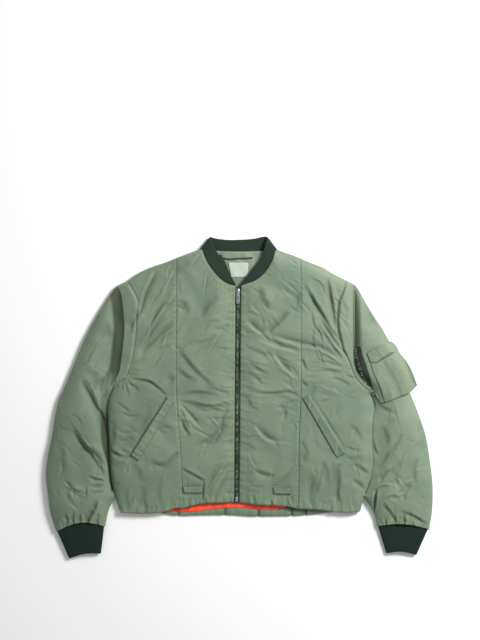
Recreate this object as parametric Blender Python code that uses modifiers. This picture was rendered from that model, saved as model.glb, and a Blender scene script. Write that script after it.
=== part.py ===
"""A light-padded bomber jacket laid flat on its back, sleeves folded down beside the body.

Lengths are in millimetres in the tables and sizes, and metres in the meshes.
+Z is up, +Y runs to the collar, +X to the wearer's left sleeve. The origin is on the surface
that the jacket lies on, under the middle of its outline. "right" and "left" are the wearer's.

The upper layer (fronts, upper sleeves) and the lower layer (back, under sleeves) meet halfway
up at the folded edges. Each layer is one height function of the plan, and every panel is a
wall between that function's outer face and the same face moved in by the cloth's thickness.
"""
import math

import bmesh
import bpy
import numpy as np
from mathutils.bvhtree import BVHTree

MM = 0.001

# ---------------------------------------------------------------- driving sizes, millimetres
SHELL = 2.4           # satin shell with its light padding
RIB = 3.2             # double rib knit
GAP = 0.3             # between neighbouring pieces
LIFT = 0.5            # of a piece that lies on a curved panel, whose facets differ from its own
INSET = 0.25          # each panel stops this far short of its seam line
STEADY_SHARE = 0.3    # of a facet's width, which its inner side keeps at least
THINNING = 0.85       # a wall gets thinner by this, again and again, where it is pinched
THINNEST = 0.35
FOLD_HEIGHT = 8.5     # height of the folded edges, where upper and lower layers meet
LOFT = 14.5           # rise of the upper layer above the folded edges
ROLL_UPPER = 45.0     # how far in from an edge the upper layer keeps rising
ROLL_LOWER = 14.0     # how far in from an edge the lower layer keeps sinking

ZIP_TOP = (-3.1, 271.0)
ZIP_FOOT = (-6.9, -264.0)
ZIP_HALF = 6.9        # from the zip's centre line to the front edges
ZIP_DIP = 4.5         # the fronts sink towards the zip
ZIP_DIP_REACH = 38.0
HEM_DIP = 4.0         # the fronts sink towards the hem
HEM_DIP_REACH = 110.0

PLEAT_DROP = 7.5      # the sleeve's face lies this far below the cap strip's fold
PLEAT_STEP = 5.0      # width of the drop
PLEAT_REACH = 40.0    # the face is back at its full height this far from the fold
PLEAT_FADE = 75.0     # the pleat opens out over this height towards the underarm
PLEAT_HEAD = 25.0     # and over this height towards the shoulder
SLEEVE_CROWN = 3.0    # extra height of the sleeves away from the armholes
CUFF_DIP = 7.0        # the sleeves sink towards the cuffs
CUFF_DIP_REACH = 75.0

# ---------------------------------------------------------------- outline tables: x, y
SHOULDER = {
    "right": [(-94.5, 372), (-146, 353), (-183, 338), (-226, 323), (-256, 308), (-281, 290)],
    "left": [(91.5, 370), (142, 352), (182, 335), (208, 325), (231, 311), (268, 292)],
}
SLEEVE_OUTER = {
    "right": [(-281, 290), (-308, 276), (-319, 262), (-338, 233), (-356, 203), (-388, 143),
              (-413, 83), (-438, 23), (-452, -8), (-461, -45), (-469, -97), (-481, -157),
              (-484.5, -190), (-480, -240), (-473, -290), (-458, -337)],
    "left": [(268, 292), (292, 278), (302, 263), (319, 233), (337, 203), (357, 173), (374, 143),
             (389, 113), (402, 78), (416, 43), (429, 8), (447, -37), (467, -97), (477, -157),
             (484, -217), (484.5, -247), (482, -292), (475, -331)],
}
ARMHOLE = {
    "right": [(-281, 290), (-266, 268), (-252, 236), (-256, 208), (-258, 168), (-263, 123),
              (-271, 83), (-288, 46), (-316, 23)],
    "left": [(268, 292), (258, 264), (249, 243), (245, 213), (245, 173), (250, 150), (259, 118),
             (273, 90), (289, 51), (312, 23), (330, 4)],
}
PLEAT_FOLD = {          # the cap strip's fold, which ends a little below the underarm
    "right": [(-304, 279), (-295, 258), (-290, 223), (-287, 168), (-291, 123), (-295, 93),
              (-302, 58), (-312, 40), (-322, 24)],
    "left": [(283, 284), (283, 235), (283, 168), (283, 123), (286, 85), (299, 53), (318, 31),
             (334, 10)],
}
PLEAT_END = 0.6         # of the first span down the side
SIDE = {                # underarm to the point where the sleeve leaves the body
    "right": [(-316, 23), (-328, -7), (-328, -70), (-325, -137), (-319, -210), (-311, -248)],
    "left": [(330, 4), (338, -18), (333, -55), (332, -116), (334, -165), (325, -216),
             (311.5, -249)],
}
SIDE_FOOT = {
    "right": [(-311, -248), (-297.5, -289)],
    "left": [(311.5, -249), (303, -286)],
}
SLEEVE_INNER_FOOT = {
    "right": [(-311, -248), (-326, -281), (-336, -324)],
    "left": [(311.5, -249), (340, -299), (345, -323)],
}
PRINCESS = {
    "right": [(-157, 348.6), (-157, 235), (-157, -2), (-147, -140), (-141, -278)],
    "left": [(153, 347.6), (153, 235), (153, 5), (149, -92), (148.5, -195), (147, -279)],
}
NECK_FRONT = {          # zip to shoulder
    "right": [(-10.0, 278), (-22, 280.5), (-45, 293), (-65, 314.5), (-83, 341.5), (-94.5, 372)],
    "left": [(3.8, 278), (18, 283.5), (36, 289.5), (61, 308), (80, 335.5), (91.5, 370)],
}
NECK_BACK = [(-94.5, 372), (-56, 364), (0, 362.5), (56, 364), (91.5, 370)]
HEM_CENTRE = {          # zip to princess seam
    "right": [(-13.8, -264), (-60, -264.5), (-91, -266), (-123, -273), (-141, -278)],
    "left": [(0.0, -264), (47, -269), (115, -273), (147, -279)],
}
HEM_SIDE = {            # princess seam to side
    "right": [(-141, -278), (-156, -277), (-186, -287), (-223, -291), (-297.5, -289)],
    "left": [(147, -279), (202, -282), (235, -287), (277, -289), (303, -286)],
}
HEM_BACK = [(-297.5, -289), (-203, -291), (-153, -297), (-98, -296), (-10, -296), (27, -298.5),
            (77, -298.5), (152, -296.5), (239, -289), (303, -286)]

# Sections across the sleeve below the pleat: the height of their outer end, their inner end
# as a station down the side (SIDE_SPANS is where the sleeve leaves the body, the next one is
# halfway on to the cuff), and how far the section bows away from the body and up.
SIDE_SPANS = 8
SLEEVE_SECTIONS = {
    "right": [  # outer_y, station, bow_out, bow_up
        (262, 1, 10, 0), (190, 2, 8, -6), (125, 3, 4, -4), (60, 4, 0, 0), (0, 5, 0, 0),
        (-65, 6, 0, 0), (-140, 7, 0, 0), (-225, 8, 0, 0), (-285, 9, 0, -4)],
    "left": [
        (263, 1, 24, 0), (190, 2, 16, -6), (125, 3, 8, -4), (60, 4, 0, 0), (8, 5, 0, 0),
        (-60, 6, 0, 0), (-140, 7, 0, 0), (-225, 8, 0, 0), (-285, 9, 0, -4)],
}
CUFFS = {               # the rib's corners and how far its edges bow up into the sleeve
    "right": {"outer": [(-458, -337), (-427, -403)], "inner": [(-336, -324), (-346.5, -391)],
              "bow": (17.0, 6.0)},
    "left": {"outer": [(475, -331), (444, -394.5)], "inner": [(345, -323), (368, -390)],
             "bow": (10.0, 6.5)},
}
CUFF_HEIGHT = (15.0, 13.0)      # of the flattened rib tube, at its sleeve end and free end


# ---------------------------------------------------------------- lines in the plan
def smooth(points, step=4.0):
    """A smooth line through the points, as samples about step apart."""
    knots = np.array(points, float)
    at = np.concatenate([[0.0], np.cumsum(np.linalg.norm(np.diff(knots, axis=0), axis=1))])
    if len(knots) == 2:
        slope = np.repeat((knots[1:] - knots[:1]) / at[1], 2, axis=0)
    else:
        slope = np.gradient(knots, at, axis=0)
    where = np.linspace(0.0, at[-1], max(2, round(at[-1] / step) + 1))
    span = np.clip(np.searchsorted(at, where, side="right") - 1, 0, len(knots) - 2)
    width = (at[span + 1] - at[span])[:, None]
    t = (where - at[span])[:, None] / width
    return ((2 * t**3 - 3 * t**2 + 1) * knots[span] + (t**3 - 2 * t**2 + t) * width * slope[span]
            + (3 * t**2 - 2 * t**3) * knots[span + 1] + (t**3 - t**2) * width * slope[span + 1])


def join(*lines):
    """Lines that start where the one before ends, as one line with corners."""
    return np.vstack([lines[0]] + [line[1:] for line in lines[1:]])


def along(line, fractions):
    """Points of a line at fractions of its length."""
    at = np.concatenate([[0.0], np.cumsum(np.linalg.norm(np.diff(line, axis=0), axis=1))])
    at /= at[-1]
    return np.stack([np.interp(fractions, at, line[:, axis]) for axis in range(line.shape[1])], 1)


def corner_fraction(first, second):
    """Where, as a fraction of their joined length, one line hands over to the next."""
    length = [np.linalg.norm(np.diff(line, axis=0), axis=1).sum() for line in (first, second)]
    return length[0] / sum(length)


def nearest(point, starts, ends):
    """Distance from a point to the closest of the segments, and the unit way from it."""
    run = ends - starts
    t = np.clip(((point - starts) * run).sum(1) / (run * run).sum(1), 0.0, 1.0)
    away = point - (starts + t[:, None] * run)
    distance = np.hypot(away[:, 0], away[:, 1])
    best = int(np.argmin(distance))
    return distance[best], away[best] / max(distance[best], 1e-9)


def ease(value):
    """0 below 0, 1 above 1, and a smooth rise between."""
    t = min(max(value, 0.0), 1.0)
    return t * t * (3.0 - 2.0 * t)


STATIONS = np.linspace(0.0, 1.0, SIDE_SPANS + 1)
LINES = {}
for hand in ("right", "left"):
    side = along(smooth(SIDE[hand]), STATIONS)
    fold_end = side[0] + PLEAT_END * (side[1] - side[0])
    LINES[hand] = {
        "shoulder": smooth(SHOULDER[hand]), "outer": smooth(SLEEVE_OUTER[hand]),
        "armhole": smooth(ARMHOLE[hand]), "pleat": smooth(PLEAT_FOLD[hand] + [fold_end]),
        "side": side, "side_foot": smooth(SIDE_FOOT[hand]),
        "inner_foot": smooth(SLEEVE_INNER_FOOT[hand]), "princess": smooth(PRINCESS[hand]),
        "neck": smooth(NECK_FRONT[hand]), "hem_centre": smooth(HEM_CENTRE[hand]),
        "hem_side": smooth(HEM_SIDE[hand]),
    }
FOLDED_EDGES = [LINES[hand][name] for hand in LINES
                for name in ("shoulder", "outer", "side", "side_foot", "inner_foot")]
EDGE_STARTS = np.vstack([line[:-1] for line in FOLDED_EDGES])
EDGE_ENDS = np.vstack([line[1:] for line in FOLDED_EDGES])


# ---------------------------------------------------------------- the two layers' faces
def zip_x(y):
    """The zip's centre line."""
    t = (y - ZIP_TOP[1]) / (ZIP_FOOT[1] - ZIP_TOP[1])
    return ZIP_TOP[0] + t * (ZIP_FOOT[0] - ZIP_TOP[0])


def edge_turn(point, roll):
    """The turn, 0 at a folded edge to a quarter circle once roll in, and the way in."""
    distance, inward = nearest(np.asarray(point), EDGE_STARTS, EDGE_ENDS)
    share = min(max((distance - INSET) / roll, 0.0), 1.0)
    return math.acos(1.0 - share), inward


def front_relief(point):
    """What the fronts sink by at the zip and the hem."""
    x, y = point
    zip_share = math.exp(-((x - zip_x(y)) / ZIP_DIP_REACH) ** 2)
    hem_share = ease((HEM_DIP_REACH - (y - ZIP_FOOT[1])) / HEM_DIP_REACH)
    turn, _ = edge_turn(point, ROLL_UPPER)
    return -math.sin(turn) ** 2 * (ZIP_DIP * zip_share + HEM_DIP * hem_share)


def sleeve_relief(point):
    """The pleat beside the cap strip, the sleeve's extra crown and its sinking to the cuff."""
    point = np.asarray(point)
    hand = "right" if point[0] < 0 else "left"
    outward = -1.0 if hand == "right" else 1.0
    fold = LINES[hand]["pleat"]
    distance, away = nearest(point, fold[:-1], fold[1:])
    beyond = distance if away[0] * outward > 0 or point[1] < fold[-1][1] else -distance
    turn, _ = edge_turn(point, ROLL_UPPER)
    drop = ease(beyond / PLEAT_STEP) * (1.0 - ease((beyond - PLEAT_STEP) / PLEAT_REACH))
    drop *= ease((point[1] - fold[-1][1]) / PLEAT_FADE) * ease((fold[0][1] - point[1]) / PLEAT_HEAD)
    crown = ease(beyond / (2.0 * PLEAT_REACH))
    outer, inner = CUFFS[hand]["outer"][0], CUFFS[hand]["inner"][0]
    mouth = np.array([outer, inner], float)
    to_cuff, _ = nearest(point, mouth[:1], mouth[1:])
    dip = ease(1.0 - to_cuff / CUFF_DIP_REACH)
    return math.sin(turn) ** 2 * (SLEEVE_CROWN * crown - PLEAT_DROP * drop - CUFF_DIP * dip)


def upper_face(relief):
    """The upper layer's outer face: plan point to its point and its unit normal."""
    probe = 0.25

    def face(point):
        turn, inward = edge_turn(point, ROLL_UPPER)
        x, y = point
        slope = np.array([relief((x + probe, y)) - relief((x - probe, y)),
                          relief((x, y + probe)) - relief((x, y - probe))]) / (2.0 * probe)
        flat = ROLL_UPPER * math.sin(turn)
        tilt = inward * LOFT * math.cos(turn) + slope * flat
        normal = np.array([-tilt[0], -tilt[1], flat])
        z = FOLD_HEIGHT + GAP / 2 + LOFT * math.sin(turn) + relief(point)
        return np.array([x, y, z]), normal / np.linalg.norm(normal)
    return face


def lower_face(point):
    """The lower layer's outer face, which lies on the surface between its turned-up edges."""
    turn, inward = edge_turn(point, ROLL_LOWER)
    sink = FOLD_HEIGHT - GAP / 2
    normal = np.array([-inward[0] * sink * math.cos(turn), -inward[1] * sink * math.cos(turn),
                       -ROLL_LOWER * math.sin(turn)])
    return np.array([point[0], point[1], sink * (1.0 - math.sin(turn))]), \
        normal / np.linalg.norm(normal)


FRONT_FACE = upper_face(front_relief)
SLEEVE_FACE = upper_face(sleeve_relief)


# ---------------------------------------------------------------- panels
def patch(top, foot, inner, outer, across, down, down_outer=None):
    """Plan points, row by row, of the panel between four lines that meet at its corners.

    top and foot run from the inner line to the outer one, inner and outer from top to foot.
    Rows end at the fractions down of both side lines, or at down_outer of the outer one.
    """
    across, down = np.asarray(across), np.asarray(down)
    down_outer = down if down_outer is None else np.asarray(down_outer)
    u = across[None, :, None]
    v = (1 - u) * down[:, None, None] + u * down_outer[:, None, None]
    top_at, foot_at = along(top, across)[None], along(foot, across)[None]
    inner_at, outer_at = along(inner, down)[:, None], along(outer, down_outer)[:, None]
    corners = ((1 - u) * (1 - v) * top[0] + u * (1 - v) * top[-1]
               + (1 - u) * v * foot[0] + u * v * foot[-1])
    return (1 - v) * top_at + v * foot_at + (1 - u) * inner_at + u * outer_at - corners


def draw_in(grid, inset=INSET):
    """The grid with its border moved in, which leaves the gap at the seams."""
    moved = grid.copy()
    for axis in (0, 1):
        for border, inside in ((0, 1), (-1, -2)):
            at = [slice(None)] * 2
            to = [slice(None)] * 2
            at[axis], to[axis] = border, inside
            way = grid[tuple(to)] - grid[tuple(at)]
            moved[tuple(at)] += inset * way / np.linalg.norm(way, axis=-1, keepdims=True)
    return moved


def crowd_to_end(count, power=2.0):
    """Fractions from 0 to 1 that crowd towards 1."""
    return 1.0 - (1.0 - np.arange(count + 1) / count) ** power


def crowd_to_ends(count, power=1.7):
    """Fractions from 0 to 1 that crowd towards both ends."""
    side = 0.5 * (np.arange(count // 2 + 1) / (count // 2)) ** power
    return np.concatenate([side, 1.0 - side[-2::-1]])


def finish(name, mesh, material):
    """Link a finished mesh as one sub-part with its material."""
    part = bpy.data.objects.new(name, mesh)
    collection.objects.link(part)
    mesh.materials.append(material)
    mesh.shade_smooth()
    mesh.set_sharp_from_angle(angle=math.radians(40))
    return part


def pinched(places, inner):
    """Pairs of views of neighbours, of any grid, where the inner points come too close."""
    found = []
    for rows, cols in ((1, 0), (0, 1), (1, 1), (1, -1)):
        one, other = neighbours(places, rows, cols)
        moved_one, moved_other = neighbours(inner, rows, cols)
        run, left = other - one, moved_other - moved_one
        found.append((rows, cols, (run * left).sum(2) < STEADY_SHARE * (run * run).sum(2)))
    return found


def steady(places, normals, thickness, turns=40, thinnings=10):
    """Normals and depths with which the moved-in points don't pass each other.

    Normals turn towards their neighbours, except on the border, where neighbouring panels
    meet. What is still pinched after that is made thinner.
    """
    normals = normals.copy()
    for _ in range(turns):
        turned = normals.copy()
        for rows, cols, close in pinched(places, places - normals * thickness):
            first, second = neighbours(turned, rows, cols)
            mean = sum(neighbours(normals, rows, cols))
            first[close] += mean[close]
            second[close] += mean[close]
        turned /= np.linalg.norm(turned, axis=2, keepdims=True)
        normals[1:-1, 1:-1] = turned[1:-1, 1:-1]
    depths = np.full(places.shape[:2] + (1,), thickness)
    for _ in range(thinnings):
        thinner = np.ones_like(depths)
        for rows, cols, close in pinched(places, places - normals * depths):
            for side in neighbours(thinner, rows, cols):
                side[close] = THINNING
        depths = np.maximum(depths * thinner, THINNEST * thickness)
    return normals, depths


def neighbours(grid, rows, cols):
    """Two views of a grid: each point, and its neighbour so many rows and columns on."""
    height, width = grid.shape[:2]
    first = grid[:height - rows, max(0, -cols):width - max(0, cols)]
    return first, grid[rows:, max(0, cols):width + min(0, cols)]


def wall(name, grid, face, thickness, material, lift=None):
    """A cloth wall on a face: the grid's points on it, and the same points moved in.

    With a lift the whole wall lies that far outside the face instead.
    """
    rows, cols = grid.shape[:2]
    outer = thickness + lift if lift is not None else 0.0
    faced = np.array([[face(point) for point in row] for row in grid])
    places = faced[:, :, 0]
    normals, depths = steady(places, faced[:, :, 1], thickness)
    bm = bmesh.new()
    bmesh.ops.create_grid(bm, x_segments=cols - 1, y_segments=rows - 1, size=1.0)
    extruded = bmesh.ops.extrude_face_region(bm, geom=bm.faces[:])["geom"]
    inner_verts = {item for item in extruded if isinstance(item, bmesh.types.BMVert)}
    for vert in bm.verts:
        col = round((vert.co.x + 1.0) / 2.0 * (cols - 1))
        row = round((vert.co.y + 1.0) / 2.0 * (rows - 1))
        depth = outer - depths[row, col] if vert in inner_verts else outer
        vert.co = (places[row, col] + normals[row, col] * depth) * MM
    for rim in [f for f in bm.faces if 0 < len(inner_verts.intersection(f.verts)) < 4]:
        # Split every rim face from its lower outer corner, so that the two sides of a seam
        # stay parallel.
        ring = list(rim.verts)
        start = min(set(ring) - inner_verts, key=lambda vert: vert.co.y)
        bmesh.utils.face_split(rim, start, ring[(ring.index(start) + 2) % 4])
    bmesh.ops.recalc_face_normals(bm, faces=bm.faces)
    if bm.calc_volume(signed=True) < 0.0:
        bmesh.ops.reverse_faces(bm, faces=bm.faces)
    mesh = bpy.data.meshes.new(name)
    bm.to_mesh(mesh)
    bm.free()
    return finish(name, mesh, material)


def block(name, centre, size, material, turn=0.0, bevel=0.0):
    """A box, turned about the vertical, with its edges rounded."""
    bm = bmesh.new()
    bmesh.ops.create_cube(bm, size=1.0)
    bmesh.ops.scale(bm, vec=[side * MM for side in size], verts=bm.verts)
    if bevel:
        bmesh.ops.bevel(bm, geom=bm.edges, offset=bevel * MM, offset_type="OFFSET", segments=1,
                        profile=0.5, affect="EDGES", material=-1)
    mesh = bpy.data.meshes.new(name)
    bm.to_mesh(mesh)
    bm.free()
    part = finish(name, mesh, material)
    part.location = [value * MM for value in centre]
    part.rotation_euler.z = turn
    return part


def flat_face(height):
    """A level face, for what lies inside the jacket on the back."""
    def face(point):
        return np.array([point[0], point[1], height]), np.array([0.0, 0.0, 1.0])
    return face


def on_panel(panel, face):
    """The outer side of a panel's own facets, with the face's normals, for what lies on it."""
    panel.data.calc_loop_triangles()
    tree = BVHTree.FromPolygons([vert.co for vert in panel.data.vertices],
                                [facet.vertices for facet in panel.data.loop_triangles])

    def facets(point):
        place, normal = face(point)
        hit = tree.ray_cast((point[0] * MM, point[1] * MM, 1.0), (0.0, 0.0, -1.0))[0]
        if hit:
            place[2] = hit.z / MM
        return place, normal
    return facets


# ---------------------------------------------------------------- materials
def upright(face):
    """A face that is built on straight upwards."""
    def level(point):
        return face(point)[0], np.array([0.0, 0.0, 1.0])
    return level


def principled(name, color, roughness, metallic=0.0):
    """A plain material of one linear colour."""
    made = bpy.data.materials.new(name)
    made.use_nodes = True
    shader = made.node_tree.nodes["Principled BSDF"]
    shader.inputs["Base Color"].default_value = (*color, 1.0)
    shader.inputs["Roughness"].default_value = roughness
    shader.inputs["Metallic"].default_value = metallic
    made.diffuse_color = (*color, 1.0)
    return made


for leftover in list(bpy.data.objects):
    bpy.data.objects.remove(leftover)
collection = bpy.data.collections.new("bomber_jacket")
bpy.context.scene.collection.children.link(collection)

SATIN = principled("sage_satin_nylon", (0.21, 0.28, 0.19), 0.45)
KNIT = principled("dark_green_rib_knit", (0.025, 0.05, 0.035), 0.9)
LINING = principled("orange_lining", (0.85, 0.11, 0.04), 0.5)
TAPE = principled("dark_green_zip_tape", (0.03, 0.05, 0.035), 0.85)
METAL = principled("silver_zip_metal", (0.55, 0.57, 0.56), 0.3, 1.0)
LABEL = principled("off_white_label", (0.6, 0.64, 0.57), 0.8)


# ---------------------------------------------------------------- fronts and back
ARMHOLE_SHARES = crowd_to_ends(10)      # shared by the body's rows and the sleeve's columns
FOOT_SPANS = 1                          # rows below the point where the sleeve leaves the body
SIDE_ACROSS = crowd_to_end(8)
NECK_SPANS = 5
BACK_ACROSS = crowd_to_ends(22)


def down_the_side(line):
    """The outer line of a body panel, and the fractions of it where its rows end."""
    outer = join(line["armhole"], line["side"], line["side_foot"])
    armhole_share = corner_fraction(line["armhole"], join(line["side"], line["side_foot"]))
    side_share = (1.0 - armhole_share) * corner_fraction(line["side"], line["side_foot"])
    rows = np.concatenate([armhole_share * ARMHOLE_SHARES,
                           armhole_share + side_share * STATIONS[1:], [1.0]])
    return outer, rows


for hand in ("right", "left"):
    line = LINES[hand]
    shoulder_at = int(np.argmin(abs(line["shoulder"][:, 0] - PRINCESS[hand][0][0])))
    near_neck = line["shoulder"][:shoulder_at + 1]
    near_sleeve = line["shoulder"][shoulder_at:]
    line["princess"][0] = line["shoulder"][shoulder_at]
    outer, down = down_the_side(line)

    top = join(line["neck"], near_neck)
    neck_share = corner_fraction(line["neck"], near_neck)
    across = np.append(neck_share * np.linspace(0, 1, NECK_SPANS + 1), [(1 + neck_share) / 2, 1])
    zip_edge = np.array([line["neck"][0], line["hem_centre"][0]])
    grid = patch(top, line["hem_centre"], zip_edge, line["princess"], across, down)
    line["centre_panel"] = wall(f"front_{hand}_centre", draw_in(grid), FRONT_FACE, SHELL, SATIN)

    grid = patch(near_sleeve, line["hem_side"], line["princess"], outer, SIDE_ACROSS, down)
    line["side_panel"] = wall(f"front_{hand}_side", draw_in(grid), FRONT_FACE, SHELL, SATIN)

right, left = LINES["right"], LINES["left"]
top = join(right["shoulder"][::-1], smooth(NECK_BACK), left["shoulder"])
(outer_right, down_right), (outer_left, down_left) = down_the_side(right), down_the_side(left)
grid = patch(top, smooth(HEM_BACK), outer_right, outer_left, BACK_ACROSS, down_right, down_left)
wall("back", draw_in(grid), lower_face, SHELL, SATIN)


# ---------------------------------------------------------------- sleeves
STRIP_SHARE = 0.87                      # a row between the seam and the fold
PLEAT_SHARES = (0.07, 0.17, 0.45)       # rows from the fold to the first section


def on_line(line, y):
    """The point of a line that runs down the plan, at a height y."""
    order = np.argsort(line[:, 1])
    return np.array([np.interp(y, line[order, 1], line[order, 0]), y])


def cross_line(start, end, bow, count=24):
    """A line between two points, bowed in its middle by a step in the plan."""
    share = np.linspace(0.0, 1.0, count + 1)[:, None]
    return start + share * (end - start) + np.array(bow) * np.sin(math.pi * share)


for hand in ("right", "left"):
    line = LINES[hand]
    stations = np.vstack([line["side"], along(line["inner_foot"], np.array([0.5]))])
    seam = along(line["armhole"], ARMHOLE_SHARES)
    fold = along(line["pleat"], ARMHOLE_SHARES)
    outward = -1.0 if hand == "right" else 1.0
    sections = [along(cross_line(on_line(line["outer"], outer_y), stations[station],
                                 (outward * bow_out, bow_up)), ARMHOLE_SHARES)
                for outer_y, station, bow_out, bow_up in SLEEVE_SECTIONS[hand]]
    mouth = cross_line(line["outer"][-1], line["inner_foot"][-1], (0.0, CUFFS[hand]["bow"][0]))
    sections.append(along(mouth, ARMHOLE_SHARES))
    strip = [seam, seam + STRIP_SHARE * (fold - seam)]
    pleat = [fold + share * (sections[0] - fold) for share in PLEAT_SHARES]
    grid = draw_in(np.array(strip + pleat + sections))
    line["upper_sleeve"] = wall(f"sleeve_{hand}_upper", grid, SLEEVE_FACE, SHELL, SATIN)
    wall(f"sleeve_{hand}_under", draw_in(np.array([seam] + sections)), lower_face, SHELL, SATIN)


# ---------------------------------------------------------------- rib cuffs
CUFF_POINTS = 20
CUFF_ROWS = 3
CUFF_EASE = 2.5         # the rib starts this far in from the sleeve's corners
CUFF_SQUARENESS = 0.75  # below 1 the flattened tube's section has flat sides


def flat_loop(angle):
    """A point of a flattened ring: across from -1 to 1, up from 0 to 1."""
    across, up = math.cos(angle), math.sin(angle)
    return (math.copysign(abs(across) ** CUFF_SQUARENESS, across),
            0.5 + 0.5 * math.copysign(abs(up) ** CUFF_SQUARENESS, up))


for hand in ("right", "left"):
    cuff = CUFFS[hand]
    (outer_top, outer_foot), (inner_top, inner_foot) = np.array(cuff["outer"], float), \
        np.array(cuff["inner"], float)
    down_way = (outer_foot + inner_foot - outer_top - inner_top) / 2
    down_way /= np.linalg.norm(down_way)
    across_way = (inner_top - outer_top) / np.linalg.norm(inner_top - outer_top)
    corners = np.array([[outer_top + CUFF_EASE * across_way, inner_top - CUFF_EASE * across_way],
                        [outer_foot, inner_foot]])
    corners[0] += (GAP + INSET) * down_way
    bm = bmesh.new()
    bmesh.ops.create_circle(bm, segments=CUFF_POINTS, radius=1.0)
    angles = [math.atan2(vert.co.y, vert.co.x) for vert in bm.verts]
    ring = bm.verts[:]
    for row in range(CUFF_ROWS + 1):
        share = row / CUFF_ROWS
        left_end, right_end = (1 - share) * corners[0] + share * corners[1]
        bow = (1 - share) * cuff["bow"][0] + share * cuff["bow"][1]
        height = (1 - share) * CUFF_HEIGHT[0] + share * CUFF_HEIGHT[1]
        if row:
            edges = [edge for edge in bm.edges if set(edge.verts) <= set(ring)]
            extruded = bmesh.ops.extrude_edge_only(bm, edges=edges)["geom"]
            ring = [item for item in extruded if isinstance(item, bmesh.types.BMVert)]
        for vert, angle in zip(ring, angles):
            across, up = flat_loop(angle)
            place = (left_end + right_end) / 2 + across * (right_end - left_end) / 2
            place = place + np.array([0.0, bow * math.cos(math.pi / 2 * across)])
            vert.co = (place[0] * MM, place[1] * MM, up * height * MM)
    bmesh.ops.recalc_face_normals(bm, faces=bm.faces)
    mesh = bpy.data.meshes.new(f"cuff_{hand}")
    bm.to_mesh(mesh)
    bm.free()
    rib = finish(f"cuff_{hand}", mesh, KNIT)
    thicken = rib.modifiers.new("double_rib", "SOLIDIFY")
    thicken.thickness = RIB * MM
    thicken.offset = -1.0
    thicken.use_even_offset = True


# ---------------------------------------------------------------- collar
COLLAR_FRONT_LIFT = 0.5   # the front halves start this far above the fronts' face
COLLAR_GAP = 0.6          # and this far from their neck edges
COLLAR_BACK = (0.0, 1.0)  # heights of the back half's outer face, at seam and free edge
COLLAR_SPANS = 3          # across the band
COLLAR_SECTIONS = [       # seam x, y, z and free edge x, y, z, from the right front round
    (-10.6, 279.5, 18.6, -9.6, 285.5, 17.5),
    (-21, 282.5, 18.9, -17, 297, 17.8),
    (-44, 294.5, 20.2, -27.5, 319.5, 17.8),
    (-63, 316, 20.8, -37, 342, 17.6),
    (-81, 343, 20.4, -52, 358, 17.2),
    (-89, 361, 17.2, -63, 376, 16.4),
    (-93.4, 370.5, 13.6, -71, 394, 14.6),
    (-94.6, 374.8, 8.6, -73.6, 402, 9.0),
    (-90.5, 375.0, 3.0, -71, 401, 3.4),
    (-82, 372.0, 0.4, -62, 398.4, 0.6),
    (-56, 366.6, 0.0, -38, 394.8, 0.3),
    (0, 365.2, 0.0, 2, 394.5, 0.3),
    (56, 366.6, 0.0, 42, 398.0, 0.3),
    (79, 371.0, 0.4, 60, 402.0, 0.6),
    (88, 373.8, 3.0, 68, 402.6, 3.4),
    (92, 372.6, 8.6, 71.5, 400.6, 9.0),
    (90.4, 368.6, 13.6, 69, 394, 14.6),
    (86.5, 358, 17.4, 62, 374, 16.4),
    (78.5, 336.8, 20.6, 60, 357, 17.2),
    (60, 309.5, 21.2, 43, 330.5, 17.6),
    (35, 291.2, 20.2, 24, 308, 17.8),
    (17, 285.2, 18.9, 12.5, 293, 17.8),
    (4.6, 279.5, 18.6, 5.6, 284, 17.5),
]


def loft(name, sections, spans, thickness, material):
    """A cloth wall through straight sections, each from its seam to its free edge."""
    bm = bmesh.new()
    bmesh.ops.create_grid(bm, x_segments=len(sections) - 1, y_segments=spans, size=1.0)
    for vert in bm.verts:
        section = sections[round((vert.co.x + 1.0) / 2.0 * (len(sections) - 1))]
        share = (vert.co.y + 1.0) / 2.0
        seam, free = np.array(section[:3]), np.array(section[3:])
        vert.co = ((1 - share) * seam + share * free) * MM
    mesh = bpy.data.meshes.new(name)
    bm.to_mesh(mesh)
    bm.free()
    part = finish(name, mesh, material)
    thicken = part.modifiers.new("thickness", "SOLIDIFY")
    thicken.thickness = thickness * MM
    thicken.offset = 1.0
    thicken.use_even_offset = True
    return part


loft("collar", COLLAR_SECTIONS, COLLAR_SPANS, RIB, KNIT)


# ---------------------------------------------------------------- inside the neck
INSIDE = SHELL + GAP                    # what lies on the back starts here
FACING = 1.5
FACING_TOP = [(-53, 360.0), (-30, 359.4), (0, 359.0), (30, 359.4), (52, 360.0)]
FACING_FOOT = [(-40, 262), (38, 262)]
LABEL_SIZE = (62.0, 36.0, 0.6)
LABEL_CENTRE = (-9.0, 318.0)
LOOP_PATH = [(-46, 356), (-41, 349.5), (-33, 346.5), (0, 345.8), (26, 347), (34, 350), (38, 355)]
LOOP_WIDTH = 4.0
LOOP_THICK = 1.6

facing_sides = [np.array([FACING_TOP[end], FACING_FOOT[end]], float) for end in (0, -1)]
grid = patch(smooth(FACING_TOP), np.array(FACING_FOOT, float), *facing_sides,
             np.linspace(0, 1, 7), np.linspace(0, 1, 3))
wall("neck_facing", grid, flat_face(INSIDE), FACING, SATIN, lift=0.0)
on_facing = INSIDE + FACING + GAP
block("neck_label", (*LABEL_CENTRE, on_facing + LABEL_SIZE[2] / 2), LABEL_SIZE, LABEL)
loop_line = smooth(LOOP_PATH, 6.0)
way = np.gradient(loop_line, axis=0)
across_loop = np.stack([way[:, 1], -way[:, 0]], 1)
across_loop *= LOOP_WIDTH / 2 / np.linalg.norm(across_loop, axis=1, keepdims=True)
wall("hanger_loop", np.stack([loop_line + across_loop, loop_line - across_loop]),
     flat_face(on_facing), LOOP_THICK, KNIT, lift=0.0)


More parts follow.
